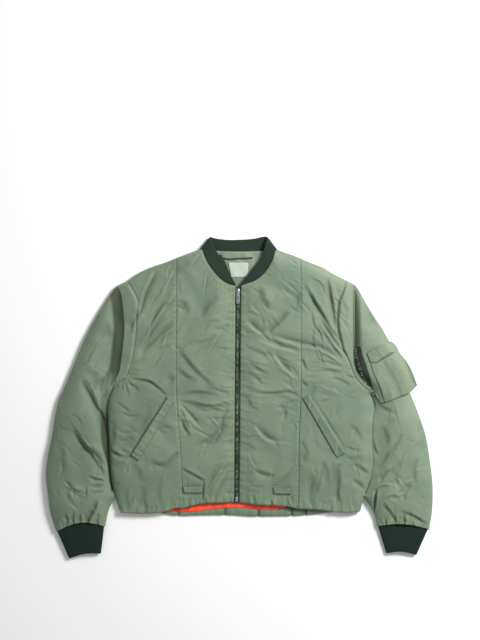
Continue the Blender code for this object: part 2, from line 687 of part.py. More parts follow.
# ---------------------------------------------------------------- inside the back hem
HEM_FACING = 2.0
HEM_INSET = 1.5
HEM_FACING_TOP = [(-206, -286), (-156, -288), (-118, -288), (-91, -284.5), (-48, -279.5),
                  (2, -278), (47, -282), (112, -281.5), (152, -283), (222, -283)]
HEM_FACING_FOOT = [(-206, -289.3), (-153, -295.4), (-98, -294.4), (-10, -294.4), (27, -296.9),
                   (77, -296.9), (152, -294.9), (222, -289.3)]
LINING_SHEET = 1.2
LINING_SPAN = (-180, 130)       # the stretch of lining that shows through the hem
LINING_TOP = -215

facing_line = smooth(HEM_FACING_TOP)
facing_foot = smooth(HEM_FACING_FOOT)
ends = [np.array([facing_line[end], facing_foot[end]]) for end in (0, -1)]
grid = patch(facing_line, facing_foot, *ends, np.linspace(0, 1, 19), np.linspace(0, 1, 2))
wall("hem_facing_back", grid, flat_face(INSIDE), HEM_FACING, SATIN, lift=0.0)
shown = facing_line[(facing_line[:, 0] > LINING_SPAN[0]) & (facing_line[:, 0] < LINING_SPAN[1])]
shown = shown + np.array([0.0, INSET + GAP])
top_line = np.array([[shown[0, 0], LINING_TOP], [shown[-1, 0], LINING_TOP]], float)
ends = [np.array([top_line[end], shown[end]]) for end in (0, -1)]
grid = patch(top_line, shown, *ends, np.linspace(0, 1, 19), np.linspace(0, 1, 2))
wall("lining_back", grid, flat_face(INSIDE), LINING_SHEET, LINING, lift=0.0)


# ---------------------------------------------------------------- welts and hem tabs
TRIM = 1.4              # folded shell of a welt, tab or patch
WELTS = {               # corners: top at the pocket's mouth, top inner, foot inner, foot mouth
    "right": [(-179, 1), (-161.5, -8), (-252, -159.5), (-271, -144)],
    "left": [(172, 8), (157, -2), (243, -152), (265.5, -139)],
}
TABS = {                # upper inner, upper outer, lower outer, lower inner
    "right": [(-91, -223.5), (-143, -222.5), (-138, -240), (-91, -240)],
    "left": [(83, -225), (129, -225), (129, -242.5), (86, -242)],
}


def quad(corners, across, down):
    """Plan points of a four-cornered piece."""
    a, b, c, d = np.array(corners, float)
    return patch(np.array([a, b]), np.array([d, c]), np.array([a, d]), np.array([b, c]),
                 np.linspace(0, 1, across + 1), np.linspace(0, 1, down + 1))


for hand in ("right", "left"):
    on_side = on_panel(LINES[hand]["side_panel"], FRONT_FACE)
    on_centre = on_panel(LINES[hand]["centre_panel"], FRONT_FACE)
    wall(f"welt_{hand}", quad(WELTS[hand], 1, 8), on_side, TRIM, SATIN, lift=LIFT)
    wall(f"hem_tab_{hand}", quad(TABS[hand], 5, 1), on_centre, TRIM, SATIN, lift=LIFT)


# ---------------------------------------------------------------- centre zip
CHAIN_WIDTH = 5.6       # the closed row of teeth
CHAIN_HEIGHT = 3.0
CHAIN_PROUD = 1.0       # the teeth's top above the tapes
TAPE_TUCK = 7.0         # of each tape under its front
TAPE_THICK = 1.0
ZIP_ROWS = 12
BOX_LENGTH = 12.0       # the retainer box at the foot
SLIDER_Y = 265.5        # the pull's hinge on the slider
PLATE = (8.4, 11.0, 1.5)        # the slider's upper and lower plates
POST = (5.0, 3.4)               # what joins them, ahead of the chain
BRIDGE_WIDTH = 2.4
BRIDGE = [(-2.9, -0.2), (-2.9, 2.4), (-1.9, 3.8), (1.9, 3.8), (2.9, 2.4), (2.9, -0.2),
          (1.5, -0.2), (1.5, 2.2), (1.1, 2.6), (-1.1, 2.6), (-1.5, 2.2), (-1.5, -0.2)]
BRIDGE_SPACE = 2.6      # inside height of the bridge, which holds the pull's bar
PULL_WIDTH = 7.4
PULL_LENGTH = 33.0
PULL_THICK = 1.4
PULL_WINDOW = (3.4, 4.2)        # the opening that the bridge passes through
PULL_HOLE = 1.6                 # radius of the hole near the free end


def union(first, others):
    """Join solids into the first one and drop the rest."""
    for other in others:
        merge = first.modifiers.new("join", "BOOLEAN")
        merge.operation = "UNION"
        merge.solver = "EXACT"
        merge.object = other
    bpy.context.view_layer.update()
    depsgraph = bpy.context.evaluated_depsgraph_get()
    joined = bpy.data.meshes.new_from_object(first.evaluated_get(depsgraph))
    first.modifiers.clear()
    first.data = joined
    for other in others:
        bpy.data.objects.remove(other)


def prism(name, outline, holes, thickness, material):
    """A flat plate in its own XY plane, centred on it, as a mesh."""
    curve = bpy.data.curves.new(name, "CURVE")
    curve.dimensions = "2D"
    curve.fill_mode = "BOTH"
    curve.extrude = thickness / 2 * MM
    for ring in [outline, *holes]:
        spline = curve.splines.new("POLY")
        spline.points.add(len(ring) - 1)
        for point, (x, y) in zip(spline.points, ring):
            point.co = (x * MM, y * MM, 0.0, 1.0)
        spline.use_cyclic_u = True
    guide = bpy.data.objects.new(name, curve)
    collection.objects.link(guide)
    bpy.context.view_layer.update()
    depsgraph = bpy.context.evaluated_depsgraph_get()
    mesh = bpy.data.meshes.new_from_object(guide.evaluated_get(depsgraph))
    bpy.data.objects.remove(guide)
    bm = bmesh.new()
    bm.from_mesh(mesh)
    bmesh.ops.remove_doubles(bm, verts=bm.verts, dist=0.01 * MM)
    bmesh.ops.recalc_face_normals(bm, faces=bm.faces)
    bm.to_mesh(mesh)
    bm.free()
    mesh.materials.clear()
    return finish(name, mesh, material)


def beside_zip(offset_from, offset_to, y_top, y_foot):
    """Plan points of a strip along the zip, between two distances from its centre line."""
    down = np.linspace(y_top, y_foot, ZIP_ROWS + 1)
    return np.array([[(zip_x(y) + offset_from, y), (zip_x(y) + offset_to, y)] for y in down])


box_top = ZIP_FOOT[1] + 2.0 + BOX_LENGTH
chain_lift = CHAIN_PROUD - SHELL - GAP - CHAIN_HEIGHT
chain_half = CHAIN_WIDTH / 2
for hand, sign in (("right", -1.0), ("left", 1.0)):
    strip = beside_zip(sign * (chain_half + GAP), sign * (ZIP_HALF + TAPE_TUCK),
                       ZIP_TOP[1] + 3.0, ZIP_FOOT[1] + 2.0)
    wall(f"zip_tape_{hand}", strip, FRONT_FACE, TAPE_THICK, TAPE, lift=-SHELL - GAP - TAPE_THICK)
wall("zip_chain", beside_zip(-chain_half, chain_half, SLIDER_Y, box_top + GAP), FRONT_FACE,
     CHAIN_HEIGHT, METAL, lift=chain_lift)
box_y = box_top - BOX_LENGTH / 2
box_z = FRONT_FACE((zip_x(box_y), box_y))[0][2] + chain_lift + CHAIN_HEIGHT / 2
block("zip_retainer_box", (zip_x(box_y), box_y, box_z),
      (CHAIN_WIDTH, BOX_LENGTH, CHAIN_HEIGHT + 0.8), METAL, bevel=0.5)

slider_x = zip_x(SLIDER_Y)
chain_foot = FRONT_FACE((slider_x, SLIDER_Y))[0][2] + chain_lift
plate_gap = CHAIN_HEIGHT + 2 * GAP
lower_z = chain_foot - GAP - PLATE[2] / 2
upper_z = lower_z + plate_gap + PLATE[2]
plate_top = upper_z + PLATE[2] / 2
slider = block("zip_slider", (slider_x, SLIDER_Y, upper_z), PLATE, METAL, bevel=0.4)
lower = block("lower_plate", (slider_x, SLIDER_Y, lower_z), PLATE, METAL, bevel=0.4)
post = block("post", (slider_x, SLIDER_Y + PLATE[1] / 2 - POST[1] / 2 - 0.5,
                      (lower_z + upper_z) / 2), (*POST, plate_gap + 0.6), METAL)
bridge = prism("bridge", BRIDGE, [], BRIDGE_WIDTH, METAL)
bridge.rotation_euler = (math.pi / 2, 0.0, math.pi / 2)
bridge.location = (slider_x * MM, SLIDER_Y * MM, plate_top * MM)
union(slider, [lower, post, bridge])

half = PULL_WIDTH / 2
bar = PULL_THICK / 2
end_angles = np.linspace(0.0, math.pi, 7)
pull_end = bar - PULL_LENGTH + half
pull_outline = [(-half, bar), *[(-half * math.cos(a), pull_end - half * math.sin(a))
                                for a in end_angles], (half, bar)]
window_x, window_y = PULL_WINDOW[0] / 2, -bar - PULL_WINDOW[1]
window = [(-window_x, -bar), (window_x, -bar), (window_x, window_y), (-window_x, window_y)]
hole = [(PULL_HOLE * math.cos(a), pull_end + PULL_HOLE * math.sin(a))
        for a in np.linspace(0.0, 2 * math.pi, 12, endpoint=False)]
pull = prism("zip_pull", pull_outline, [window, hole], PULL_THICK, METAL)
pull.location = (slider_x * MM, SLIDER_Y * MM, (plate_top + BRIDGE_SPACE / 2) * MM)


# ---------------------------------------------------------------- left sleeve's utility pocket
POCKET_RIM = 6.5        # the pocket's outer edge stands this far above the folded edge
PATCH_LIFT = 1.5        # the patch crosses the sleeve's long facets
POCKET_CLEAR = 0.4      # between the patch and the pocket on it
PEN_BAND_SINK = 0.6     # the pen band lies this much closer to the patch
PANEL_SINK = 0.7
POCKET_ROLL = 30.0
POCKET_ZIP_EDGE = [(301, 127), (303, 100), (313, 72), (318, 48), (325, 30), (345, 2)]
POCKET_ZIP_TUCK = [(290.5, 126), (291.5, 100), (298, 72), (307, 48), (317, 30), (336, 9)]
PATCH_TOP = [(301, 127), (303, 134), (340, 139), (366, 142)]
PATCH_FOOT = [(345, 2), (360, -10), (385, -5), (417, 10)]
POCKET_BULGE = [(376, 143), (388, 133), (399, 112), (416, 92), (433, 60), (444.5, 28)]
BULGE_SPLIT = (0.29, 0.31)      # where the pen band ends and the panel begins, down the bulge
PEN_BAND_TOP = [(317, 110), (345, 127), (376, 143)]
PEN_BAND_FOOT = [(325, 87), (340, 87.5), (372, 105)]
PANEL_TOP = [(329.5, 77), (341, 84), (372, 101)]
PANEL_FOOT = [(363, -13), (400, 1), (430, 16)]
PANEL_EDGE = [(329.5, 77), (346, 37), (363, -13)]

bulge = smooth(POCKET_BULGE)
patch_height = FOLD_HEIGHT + GAP / 2 + LOFT + SLEEVE_CROWN + PATCH_LIFT + TRIM + POCKET_CLEAR
pocket_foot = FOLD_HEIGHT + POCKET_RIM


def pocket_face(point):
    """The underside of the pocket: level over the sleeve, rolled down past its fold."""
    distance, inward = nearest(np.asarray(point), bulge[:-1], bulge[1:])
    turn = math.acos(1.0 - min(distance / POCKET_ROLL, 1.0))
    rise = patch_height - pocket_foot
    steep = rise * math.cos(turn)
    normal = np.array([-inward[0] * steep, -inward[1] * steep,
                       POCKET_ROLL * max(math.sin(turn), 0.3)])
    place = np.array([point[0], point[1], pocket_foot + rise * math.sin(turn)])
    return place, normal / np.linalg.norm(normal)


def line_through(*points):
    """A straight-sided line through a few plan points."""
    return np.array(points, float)


zip_edge, zip_tuck = smooth(POCKET_ZIP_EDGE), smooth(POCKET_ZIP_TUCK)
outer_line = LINES["left"]["outer"]
wrap = outer_line[(outer_line[:, 1] < 141) & (outer_line[:, 1] > 16)] - np.array([9.0, 3.0])
wrap = np.vstack([PATCH_TOP[-1], wrap, PATCH_FOOT[-1]])
grid = patch(smooth(PATCH_TOP), smooth(PATCH_FOOT), zip_edge, wrap, crowd_to_ends(12, 1.4),
             np.linspace(0, 1, 13))
on_sleeve = on_panel(LINES["left"]["upper_sleeve"], SLEEVE_FACE)
wall("sleeve_pocket_base", draw_in(grid), on_sleeve, TRIM, SATIN, lift=PATCH_LIFT)
grid = patch(line_through(zip_tuck[0], zip_edge[0]), line_through(zip_tuck[-1], zip_edge[-1]),
             zip_tuck, zip_edge, np.linspace(0, 1, 5), np.linspace(0, 1, 13))
wall("sleeve_pocket_zip_tape", draw_in(grid, 2.0 * INSET), on_sleeve, TAPE_THICK, TAPE,
     lift=PATCH_LIFT)
tooth_line = (along(zip_tuck, np.linspace(0.04, 0.90, 12))
              + along(zip_edge, np.linspace(0.04, 0.90, 12))) / 2
way = np.gradient(tooth_line, axis=0)
side_step = np.stack([way[:, 1], -way[:, 0]], 1)
side_step *= 1.8 / np.linalg.norm(way, axis=1, keepdims=True)
wall("sleeve_pocket_zip_chain", np.stack([tooth_line - side_step, tooth_line + side_step]),
     upright(on_sleeve), TAPE_THICK, METAL, lift=PATCH_LIFT + TAPE_THICK + 3.0 * LIFT)

band_edge = along(bulge, np.linspace(0.0, BULGE_SPLIT[0], 9))
panel_edge = along(bulge, np.linspace(BULGE_SPLIT[1], 1.0, 17))
grid = patch(smooth(PEN_BAND_TOP[:-1] + [band_edge[0]]), smooth(PEN_BAND_FOOT + [band_edge[-1]]),
             line_through(PEN_BAND_TOP[0], PEN_BAND_FOOT[0]), band_edge, crowd_to_end(8, 1.6),
             np.linspace(0, 1, 4))
wall("sleeve_pocket_pen_band", draw_in(grid), pocket_face, TRIM, SATIN, lift=-PEN_BAND_SINK)
grid = patch(smooth(PANEL_TOP + [panel_edge[0]]), smooth(PANEL_FOOT + [panel_edge[-1]]),
             smooth(PANEL_EDGE), panel_edge, crowd_to_end(8, 1.6), np.linspace(0, 1, 6))
wall("sleeve_pocket_panel", draw_in(grid), pocket_face, TRIM, SATIN, lift=-PANEL_SINK)
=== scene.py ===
"""The looks of a light-padded bomber jacket that lies flat on its back, sleeves folded down.

Every piece of cloth is laid out in the plan first, in millimetres, and then raised by one height
function for the upper layer or one for the lower layer: rolled edges, soft loft, the sleeves'
pleats, the main folds from tables, and finer ripples along the seams. +Z is up, +Y runs to the
collar, +X to the wearer's left sleeve. "right" and "left" are the wearer's.

Folds and small parts are placed on a layout grid of 2.5 mm squares, counted from its top left
corner: u squares to the right and v squares down.
"""

import math

import bmesh
import bpy
import numpy as np
from mathutils import Matrix, Vector


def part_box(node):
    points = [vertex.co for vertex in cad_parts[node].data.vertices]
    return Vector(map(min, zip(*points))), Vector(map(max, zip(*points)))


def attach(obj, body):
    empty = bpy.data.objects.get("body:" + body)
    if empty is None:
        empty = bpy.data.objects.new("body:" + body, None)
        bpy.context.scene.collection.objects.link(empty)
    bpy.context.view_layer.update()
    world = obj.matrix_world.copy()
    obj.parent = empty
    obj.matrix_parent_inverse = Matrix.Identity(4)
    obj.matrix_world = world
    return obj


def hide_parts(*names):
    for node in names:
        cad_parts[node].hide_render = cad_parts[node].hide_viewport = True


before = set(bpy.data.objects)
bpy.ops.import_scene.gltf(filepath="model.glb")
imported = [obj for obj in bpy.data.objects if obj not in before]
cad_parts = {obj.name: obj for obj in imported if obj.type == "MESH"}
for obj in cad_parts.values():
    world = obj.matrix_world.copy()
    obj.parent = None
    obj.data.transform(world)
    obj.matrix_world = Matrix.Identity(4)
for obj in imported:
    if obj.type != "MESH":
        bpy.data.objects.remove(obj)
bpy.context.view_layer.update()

MM = 0.001
SQUARE = 2.5                    # mm, one square of the layout grid
GRID_ORIGIN = (239.3, 397.2)    # the frame's origin, in squares
HANDS = ("right", "left")

# ---------------------------------------------------------------- cloth sizes, millimetres
CLOTH = 1.6             # shell with its light padding pressed flat
CLOTH_STEP = 2.55       # spacing of the points on the upper layer
BACK_STEP = 4.8         # and on the lower layer
FOLD_HEIGHT = 8.5       # height of the folded edges, where upper and lower layers meet
LOFT = 15.0             # rise of the upper layer above the folded edges
ROLL_UPPER = 38.0       # how far in from a folded edge the upper layer rolls
ROLL_LOWER = 14.0       # and the lower one
LEAST_HEIGHT = 6.0      # the upper layer never sinks below this
TWO_WALLS = 3.5         # nor nearer to the lower layer than this, away from the folded edges
NARROWEST_CUT = 0.0105  # metres

CASING_TOP = -252.0     # the hem's casing lines the jacket with its outer cloth below this
SEAM_ALLOWANCE = 12.0   # of outer cloth, lying on the lining's side along the folded edges
ZIP_TOP = (-3.1, 271.0)
ZIP_FOOT = (-6.9, -264.0)
ZIP_HALF = 6.4          # from the zip's centre line to the front edges
TAPE_TUCK = 7.0         # how far a tape runs on under a front edge


def at(u, v):
    """A layout square's place in the plan, in millimetres."""
    return ((u - GRID_ORIGIN[0]) * SQUARE, (GRID_ORIGIN[1] - v) * SQUARE)


# ---------------------------------------------------------------- outlines, millimetres: x, y
SHOULDER = {
    "right": [(-94.5, 372), (-146, 353), (-183, 338), (-226, 323), (-256, 308), (-281, 290)],
    "left": [(91.5, 370), (142, 352), (182, 335), (208, 325), (231, 311), (268, 292)],
}
SLEEVE_OUTER = {
    "right": [(-281, 290), (-308, 276), (-319, 262), (-338, 233), (-356, 203), (-388, 143),
              (-413, 83), (-438, 23), (-452, -8), (-461, -45), (-469, -97), (-481, -157),
              (-484.5, -190), (-480, -240), (-473, -290), (-458, -337)],
    "left": [(268, 292), (292, 278), (302, 263), (319, 233), (337, 203), (357, 173), (374, 143),
             (389, 113), (402, 78), (416, 43), (429, 8), (447, -37), (467, -97), (477, -157),
             (484, -217), (484.5, -247), (482, -292), (475, -331)],
}
ARMHOLE = {
    "right": [(-281, 290), (-266, 268), (-252, 236), (-256, 208), (-258, 168), (-263, 123),
              (-271, 83), (-288, 46), (-311, 31), (-316, 23)],
    "left": [(268, 292), (258, 264), (249, 243), (245, 213), (245, 173), (250, 150), (259, 118),
             (273, 90), (289, 51), (312, 24), (326, 12.5), (330, 4)],
}
PLEAT_FOLD = {          # the cap strip's fold, which ends a little below the underarm
    "right": [(-304, 279), (-295, 258), (-290, 223), (-287, 168), (-291, 123), (-295, 93),
              (-302, 58), (-312, 40), (-322, 24)],
    "left": [(283, 284), (283, 235), (283, 168), (283, 123), (284, 98), (287, 74), (297, 53),
             (314, 32), (332, 10)],
}
PLEAT_END = 0.25        # of the first span down the side
SIDE = {                # underarm to the point where the sleeve leaves the body
    "right": [(-316, 23), (-328, -7), (-328, -70), (-325, -137), (-319, -210), (-311, -248)],
    "left": [(330, 4), (338, -18), (333, -55), (332, -116), (334, -165), (325, -216),
             (311.5, -249)],
}
SIDE_FOOT = {
    "right": [(-311, -248), (-297.5, -289)],
    "left": [(311.5, -249), (303, -286)],
}
SLEEVE_INNER_FOOT = {
    "right": [(-311, -248), (-326, -281), (-336, -324)],
    "left": [(311.5, -249), (340, -299), (345, -323)],
}
PRINCESS = {
    "right": [(-157, 348.6), (-157, 235), (-157, -2), (-147, -140), (-141, -278)],
    "left": [(153, 347.6), (153, 235), (153, 5), (149, -92), (148.5, -195), (147, -279)],
}
NECK_FRONT = {          # zip to shoulder
    "right": [(-9.5, 278), (-22, 280.5), (-45, 293), (-65, 314.5), (-83, 341.5), (-94.5, 372)],
    "left": [(3.3, 278), (18, 283.5), (36, 289.5), (61, 308), (80, 335.5), (91.5, 370)],
}
NECK_BACK = [(-94.5, 372), (-56, 364), (0, 362.5), (56, 364), (91.5, 370)]
HEM_CENTRE = {          # zip to princess seam
    "right": [(-13.3, -264), (-60, -264.5), (-91, -266), (-123, -273), (-141, -278)],
    "left": [(-0.5, -264), (47, -269), (115, -273), (147, -279)],
}
HEM_SIDE = {            # princess seam to side
    "right": [(-141, -278), (-156, -277), (-186, -287), (-223, -291), (-297.5, -289)],
    "left": [(147, -279), (202, -282), (235, -287), (277, -289), (303, -286)],
}
HEM_BACK = [(-297.5, -289), (-203, -291), (-153, -297), (-98, -296), (-10, -296), (27, -298.5),
            (77, -298.5), (152, -296.5), (239, -289), (303, -286)]
# Lines across the sleeve below the pleat: the height of their outer end, their inner end as a
# station down the side (SIDE_SPANS is where the sleeve leaves the body, the next one is halfway
# on to the cuff), and how far the line bows away from the body and up.
SIDE_SPANS = 8
SLEEVE_SECTIONS = {
    "right": [  # outer_y, station, bow_out, bow_up
        (262, 1, 10, 0), (190, 2, 8, -6), (125, 3, 4, -4), (60, 4, 0, 0), (0, 5, 0, 0),
        (-65, 6, 0, 0), (-140, 7, 0, 0), (-225, 8, 0, 0), (-285, 9, 0, -4)],
    "left": [
        (263, 1, 26, 0), (190, 2, 22, -6), (125, 3, 8, -4), (60, 4, 0, 0), (8, 5, 0, 0),
        (-60, 6, 0, 0), (-140, 7, 0, 0), (-225, 8, 0, 0), (-285, 9, 0, -4)],
}
CUFFS = {               # the rib's corners, and how far its edges bow up into the sleeve
    "right": {"outer": [(-458, -337), (-427, -403)], "inner": [(-336, -324), (-346.5, -391)],
              "bow": (17.0, 6.0)},
    "left": {"outer": [(475, -331), (444, -394.5)], "inner": [(345, -323), (368, -390)],
             "bow": (10.0, 6.5)},
}

